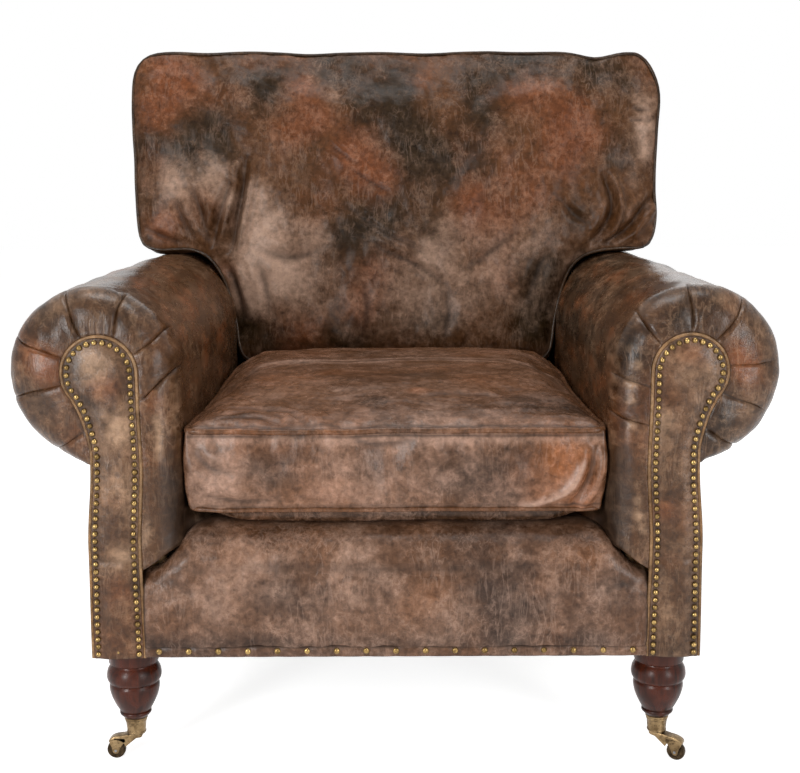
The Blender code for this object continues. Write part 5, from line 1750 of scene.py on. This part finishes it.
def shift(made, x, y, turn=0.0):
    """Turn a piece about Z and carry it to its place, in its mesh."""
    made.data.transform(Matrix.Translation((x, y, 0)) @ Matrix.Rotation(turn, 4, "Z"))
    return made


# Turned front leg, from the top down: (radius, z) points, and the count of a smooth curve through them
LEG_CURVES = [
    ([(0.0302, 0.1368), (0.0325, 0.1335), (0.0352, 0.1280), (0.0363, 0.1205), (0.0352, 0.1150), (0.0331, 0.1120),
      (0.0316, 0.1104)], 16),
    ([(0.0317, 0.1099), (0.0326, 0.1088), (0.0332, 0.1060), (0.0328, 0.1000), (0.0308, 0.0920), (0.0276, 0.0840),
      (0.0240, 0.0768), (0.0212, 0.0720), (0.0203, 0.0704)], 22),
    ([(0.0199, 0.0700), (0.0209, 0.0690), (0.0212, 0.0672), (0.0205, 0.0655), (0.0196, 0.0648), (0.0172, 0.0620),
      (0.0150, 0.0604)], 12),
]
LEG_NECK = [(0.0327, LEG_HIGH.z), (0.0330, LEG_HIGH.z - 0.001), (0.0330, 0.1402), (0.0324, 0.1392),
            (0.0306, 0.1384), (0.0300, 0.1376)]
LEG_SPIGOT = [(0.0115, 0.0600), (0.0108, 0.0450)]


def make_front_leg(label, side):
    """Turned leg: a neck, a bead, a squashed ball, a ring and a tapered foot."""
    curves = np.vstack([curve_through(points, count) for points, count in LEG_CURVES])
    profile = LEG_NECK + [tuple(p) for p in curves] + LEG_SPIGOT
    made = shift(turned(label + "_turned_leg", profile, 72), side * LEG_X, LEG_Y)
    settle(sharpen(made, 40), "mahogany", nodes=[label + "_front_leg"])


def make_rear_leg(label, side):
    """Square tapered leg that rakes back."""
    top, foot = Vector((0.335, 0.343, 0)), Vector((0.345, 0.393, 0))
    bm = bmesh.new()
    bmesh.ops.create_cube(bm, size=2)
    upright = [e for e in bm.edges if abs(e.verts[0].co.z - e.verts[1].co.z) > 1]
    bmesh.ops.subdivide_edges(bm, edges=upright, cuts=8)
    for vert in bm.verts:
        share = (vert.co.z + 1) / 2
        centre = foot.lerp(top, share)
        half = 0.016 + 0.007 * share + 0.0012 * math.sin(math.pi * share)
        vert.co = (side * centre.x + half * vert.co.x, centre.y + half * vert.co.y, LEG_HIGH.z * share)
    bmesh.ops.bevel(bm, geom=[e for e in bm.edges if e.calc_face_angle(0) > 0.6], offset=0.0022, segments=3,
                    affect="EDGES")
    bmesh.ops.recalc_face_normals(bm, faces=bm.faces)
    made = from_bmesh(label + "_back_leg", bm)
    settle(sharpen(made, 30), "rear_wood", nodes=[label + "_rear_leg"])


def extruded(name, outline, half, centre=0.0):
    """A flat outline in X and Z given a thickness along Y and softened edges."""
    count = len(outline)
    points = [(x, centre - half, z) for x, z in outline] + [(x, centre + half, z) for x, z in outline]
    faces = [tuple(range(count)), tuple(range(2 * count - 1, count - 1, -1))]
    faces += [(k, (k + 1) % count, count + (k + 1) % count, count + k) for k in range(count)]
    made = outward(new_piece(name, points, faces))
    soft = made.modifiers.new("edges", "BEVEL")
    soft.width = 0.0006
    soft.segments = 2
    soft.limit_method = "ANGLE"
    soft.angle_limit = math.radians(50)
    return sharpen(bake(made), 45)


def join(name, parts):
    """Several meshes as one piece."""
    bm = bmesh.new()
    for part in parts:
        bm.from_mesh(part.data)
        bpy.data.objects.remove(part)
    return from_bmesh(name, bm)


def arc(centre, radius, start, end, count):
    """Points of an arc in X and Z."""
    return [(centre[0] + radius * math.cos(a), centre[1] + radius * math.sin(a))
            for a in np.linspace(start, end, count)]


# Lathe profiles of the castors: (radius, z) points
CUP = [
    (0.0032, 0.0390), (0.0110, 0.0390), (0.0124, 0.0600), (0.0149, 0.0603), (0.0155, 0.0597), (0.0155, 0.0576),
    (0.0150, 0.0570), (0.0143, 0.0563), (0.0146, 0.0552), (0.0143, 0.0541), (0.0137, 0.0530), (0.0131, 0.0480),
    (0.0126, 0.0420), (0.0125, 0.0400), (0.0130, 0.0393), (0.0129, 0.0380), (0.0121, 0.0366), (0.0110, 0.0361),
    (0.0032, 0.0361),
]
PINTLE = [(0.0, 0.0420), (0.0050, 0.0420), (0.0050, 0.0394), (0.0028, 0.0394), (0.0028, 0.0340), (0.0, 0.0340)]
WASHER = [(0.0028, 0.0360), (0.0075, 0.0360), (0.0080, 0.0356), (0.0075, 0.0352), (0.0028, 0.0352)]
BOSS = [(0.0, 0.0003), (0.0030, 0.0003), (0.0030, -0.0004), (0.0, -0.0004)]
HALF_WHEEL = [
    (AXLE_R + 0.0004, WHEEL_HALF - 0.0002), (0.0030, WHEEL_HALF), (0.0046, WHEEL_HALF - 0.0002),
    (0.0054, WHEEL_HALF - 0.0010), (0.0090, WHEEL_HALF - 0.0014), (0.0103, WHEEL_HALF - 0.0009),
    (0.0112, WHEEL_HALF - 0.0002), (0.0118, WHEEL_HALF - 0.0006), (0.0123, WHEEL_HALF - 0.0016),
    (WHEEL_R, WHEEL_HALF - 0.0030),
]
CHEEK_HALF = 0.00105                    # half the thickness of one side of the fork


def crown_outline():
    """Side view of the horn's body, from over the wheel up to the pintle."""
    line = arc((TRAIL, WHEEL_R), 0.0148, 0.9, 2.75, 15)
    line += [(0.0, 0.0300), (-0.0060, 0.0312), (-0.0085, 0.0330), (-0.0085, 0.0352), (0.0080, 0.0352)]
    line += list(curve_through([(0.0120, 0.0347), (0.0180, 0.0336), (0.0240, 0.0330), (0.0290, 0.0320),
                                (0.0340, 0.0298), (0.0368, 0.0272)], 12))
    return line


def cheek_outline():
    """Side view of one side of the fork, from the axle up."""
    line = arc((TRAIL, WHEEL_R), 0.0046, -3.0, 0.2, 15)
    line += list(curve_through([(0.0338, 0.0180), (0.0362, 0.0225), (0.0352, 0.0262), (0.0320, 0.0288),
                                (0.0290, 0.0300)], 10))
    line += [(0.0150, 0.0300)] + list(curve_through([(0.0140, 0.0255), (0.0185, 0.0210), (0.0222, 0.0155)], 8))
    return line


def on_axle(made, y):
    """Lay a lathe shape on its side about the castor's axle."""
    made.data.transform(Matrix.Translation((TRAIL, y, WHEEL_R)) @ Matrix.Rotation(math.pi / 2, 4, "X"))
    return made


def make_castor(label, side):
    """Brass cup on the leg; under it the swept horn with its fork, axle and wheel."""
    place = (side * LEG_X, LEG_Y, CASTOR_ANGLE[label])
    cup = turned(label + "_cup", CUP, 48, closed=True)
    settle(sharpen(shift(cup, *place[:2]), 35), "castor", nodes=[label + "_castor_cup"])
    parts = [extruded("crown", crown_outline(), FORK_HALF)]
    for y in (-1, 1):
        parts.append(extruded("cheek", cheek_outline(), CHEEK_HALF, y * (FORK_HALF - CHEEK_HALF)))
        parts.append(on_axle(turned("boss", BOSS, 20), y * FORK_HALF))
    parts.append(turned("pintle", PINTLE, 24))
    parts.append(turned("washer", WASHER, 32, closed=True))
    horn = sharpen(shift(join(label + "_horn", parts), *place), 40)
    settle(horn, "castor", body=label + "_castor_swivel", nodes=[label + "_castor_horn"])
    profile = HALF_WHEEL + [(r, -z) for r, z in reversed(HALF_WHEEL)]
    wheel = on_axle(turned(label + "_wheel", profile, 48, closed=True), 0)
    settle(sharpen(shift(wheel, *place), 30), "wheel", body=label + "_castor_wheel",
           nodes=[label + "_castor_wheel"])


# ---------------------------------------------------------------- underside and inner parts

def make_lining():
    """Black lining stretched under the frame, tacked along its edges."""
    low, high = corners("dust_cover")
    count = 60
    points = []
    for y in np.linspace(low.y, high.y, count):
        for x in np.linspace(low.x, high.x, count):
            edge = min(x - low.x, high.x - x, y - low.y, high.y - y)
            place = np.array([[x, y, 0.0]])
            sag = 0.0006 * float(smooth(edge, 0.0, 0.06)) * (1 + 0.4 * float(waves(place, 0.11, 91)[0]))
            points.append((x, y, low.z + 0.0007 - sag))
    made = new_piece("lining", points, grid_faces(count, count), flip=True)
    thicken(made, WALL["lining"])
    settle(made, "lining", nodes=["dust_cover"])


# Finish of a solid that is shown as it is, by a word in its name
INNER_FINISH = {
    "rail": "hardwood", "post": "hardwood", "stump": "hardwood", "block": "hardwood", "spring": "steel",
    "bolt": "steel", "axle": "steel", "deck": "padding", "padding": "padding",
}


def dress_frame():
    """Finishes of the solids that are shown as they are."""
    for name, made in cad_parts.items():
        for word, finish in INNER_FINISH.items():
            if word in name:
                for slot in made.material_slots:
                    slot.material = FINISH[finish]


# ---------------------------------------------------------------- camera and light

CAMERA_PLACE = (0.0066, -2.0672, 0.7895)
CAMERA_DOWN = math.radians(9.595)
CAMERA_ROLL = math.radians(-0.239)
# Place, aim, size and power of each lamp
LAMPS = {
    "key": ((-1.5, -2.5, 0.95), (0, 0, 0.5), (0.5, 1.4), 48),
    "fill": ((1.6, -2.3, 0.85), (0, 0, 0.5), (0.5, 1.4), 30),
    "top": ((-0.1, -0.4, 2.5), (0, 0, 0.4), (1.7, 0.5), 26),
    "rear": ((0.4, 2.8, 2.2), (0, 0, 0.5), (2.2, 1.6), 20),
}
WORLD_LIGHT = 0.20                      # how strongly the surroundings light the chair
FLOOR_GLOW = 0.80                       # how far the floor is lifted towards white where it is seen


def make_camera():
    """A camera low in front of the chair, tipped down a little."""
    data = bpy.data.cameras.new("camera")
    data.sensor_width = 36
    data.lens = 58.0
    made = linked("camera", data)
    tip = Matrix.Rotation(math.pi / 2 - CAMERA_DOWN, 4, "X")
    made.matrix_world = Matrix.Translation(CAMERA_PLACE) @ tip @ Matrix.Rotation(CAMERA_ROLL, 4, "Z")
    bpy.context.scene.camera = made


def make_lamp(name, place, aim, size, power):
    """A large soft lamp."""
    data = bpy.data.lights.new(name, "AREA")
    data.shape = "RECTANGLE"
    data.size, data.size_y = size
    data.energy = power
    made = linked(name, data)
    made.location = place
    made.rotation_euler = (Vector(aim) - Vector(place)).to_track_quat("-Z", "Y").to_euler()


def shown_ray(write):
    """1 for what the camera, a reflection or glass sees, 0 for light that falls on the chair."""
    path = write.add("ShaderNodeLightPath").outputs
    seen = write.math("MAXIMUM", path["Is Camera Ray"], path["Is Transmission Ray"])
    return write.math("MAXIMUM", seen, path["Is Glossy Ray"])


def make_world():
    """White surroundings with a plain level of light."""
    world = bpy.data.worlds.new("studio")
    bpy.context.scene.world = world
    world.use_nodes = True
    tree = world.node_tree
    tree.nodes.clear()
    write = Nodes(tree)
    fill = write.add("ShaderNodeBackground", None, Color=(1, 1, 1, 1), Strength=WORLD_LIGHT)
    white = write.add("ShaderNodeBackground", None, Color=(1, 1, 1, 1), Strength=1.0)
    pick = write.add("ShaderNodeMixShader", None, i0=shown_ray(write), i1=fill.outputs[0], i2=white.outputs[0])
    out = write.add("ShaderNodeOutputWorld")
    tree.links.new(pick.outputs[0], out.inputs[0])


def make_floor():
    """White floor that runs out of sight and keeps the chair's shadow."""
    made = new_piece("floor", [(-9, -7, 0), (9, -7, 0), (9, 11, 0), (-9, 11, 0)], [(0, 1, 2, 3)])
    mat, shader, write = new_finish("white_floor", 0.9, specular=0.1)
    shader.inputs["Base Color"].default_value = (0.90, 0.90, 0.90, 1)
    shader.inputs["Emission Color"].default_value = (1, 1, 1, 1)
    glow = write.math("MULTIPLY", shown_ray(write), FLOOR_GLOW)
    write.tree.links.new(glow, shader.inputs["Emission Strength"])
    made.data.materials.append(mat)


# ---------------------------------------------------------------- the chair

bpy.context.scene.view_settings.view_transform = "Standard"
make_camera()
make_world()
make_floor()
for lamp_name, lamp in LAMPS.items():
    make_lamp(lamp_name, *lamp)

for side_label, side_sign in SIDES:
    make_arm(side_label, side_sign)
    make_arm_rear(side_label, side_sign)
    make_facing(side_label, side_sign)
    make_outside_arm(side_label, side_sign)
    make_front_leg(side_label, side_sign)
    make_rear_leg(side_label, side_sign)
    make_castor(side_label, side_sign)
make_border()
make_outside_back()
make_fixed_back()
make_back_cushion()
make_seat_cushion()
make_lining()
dress_frame()
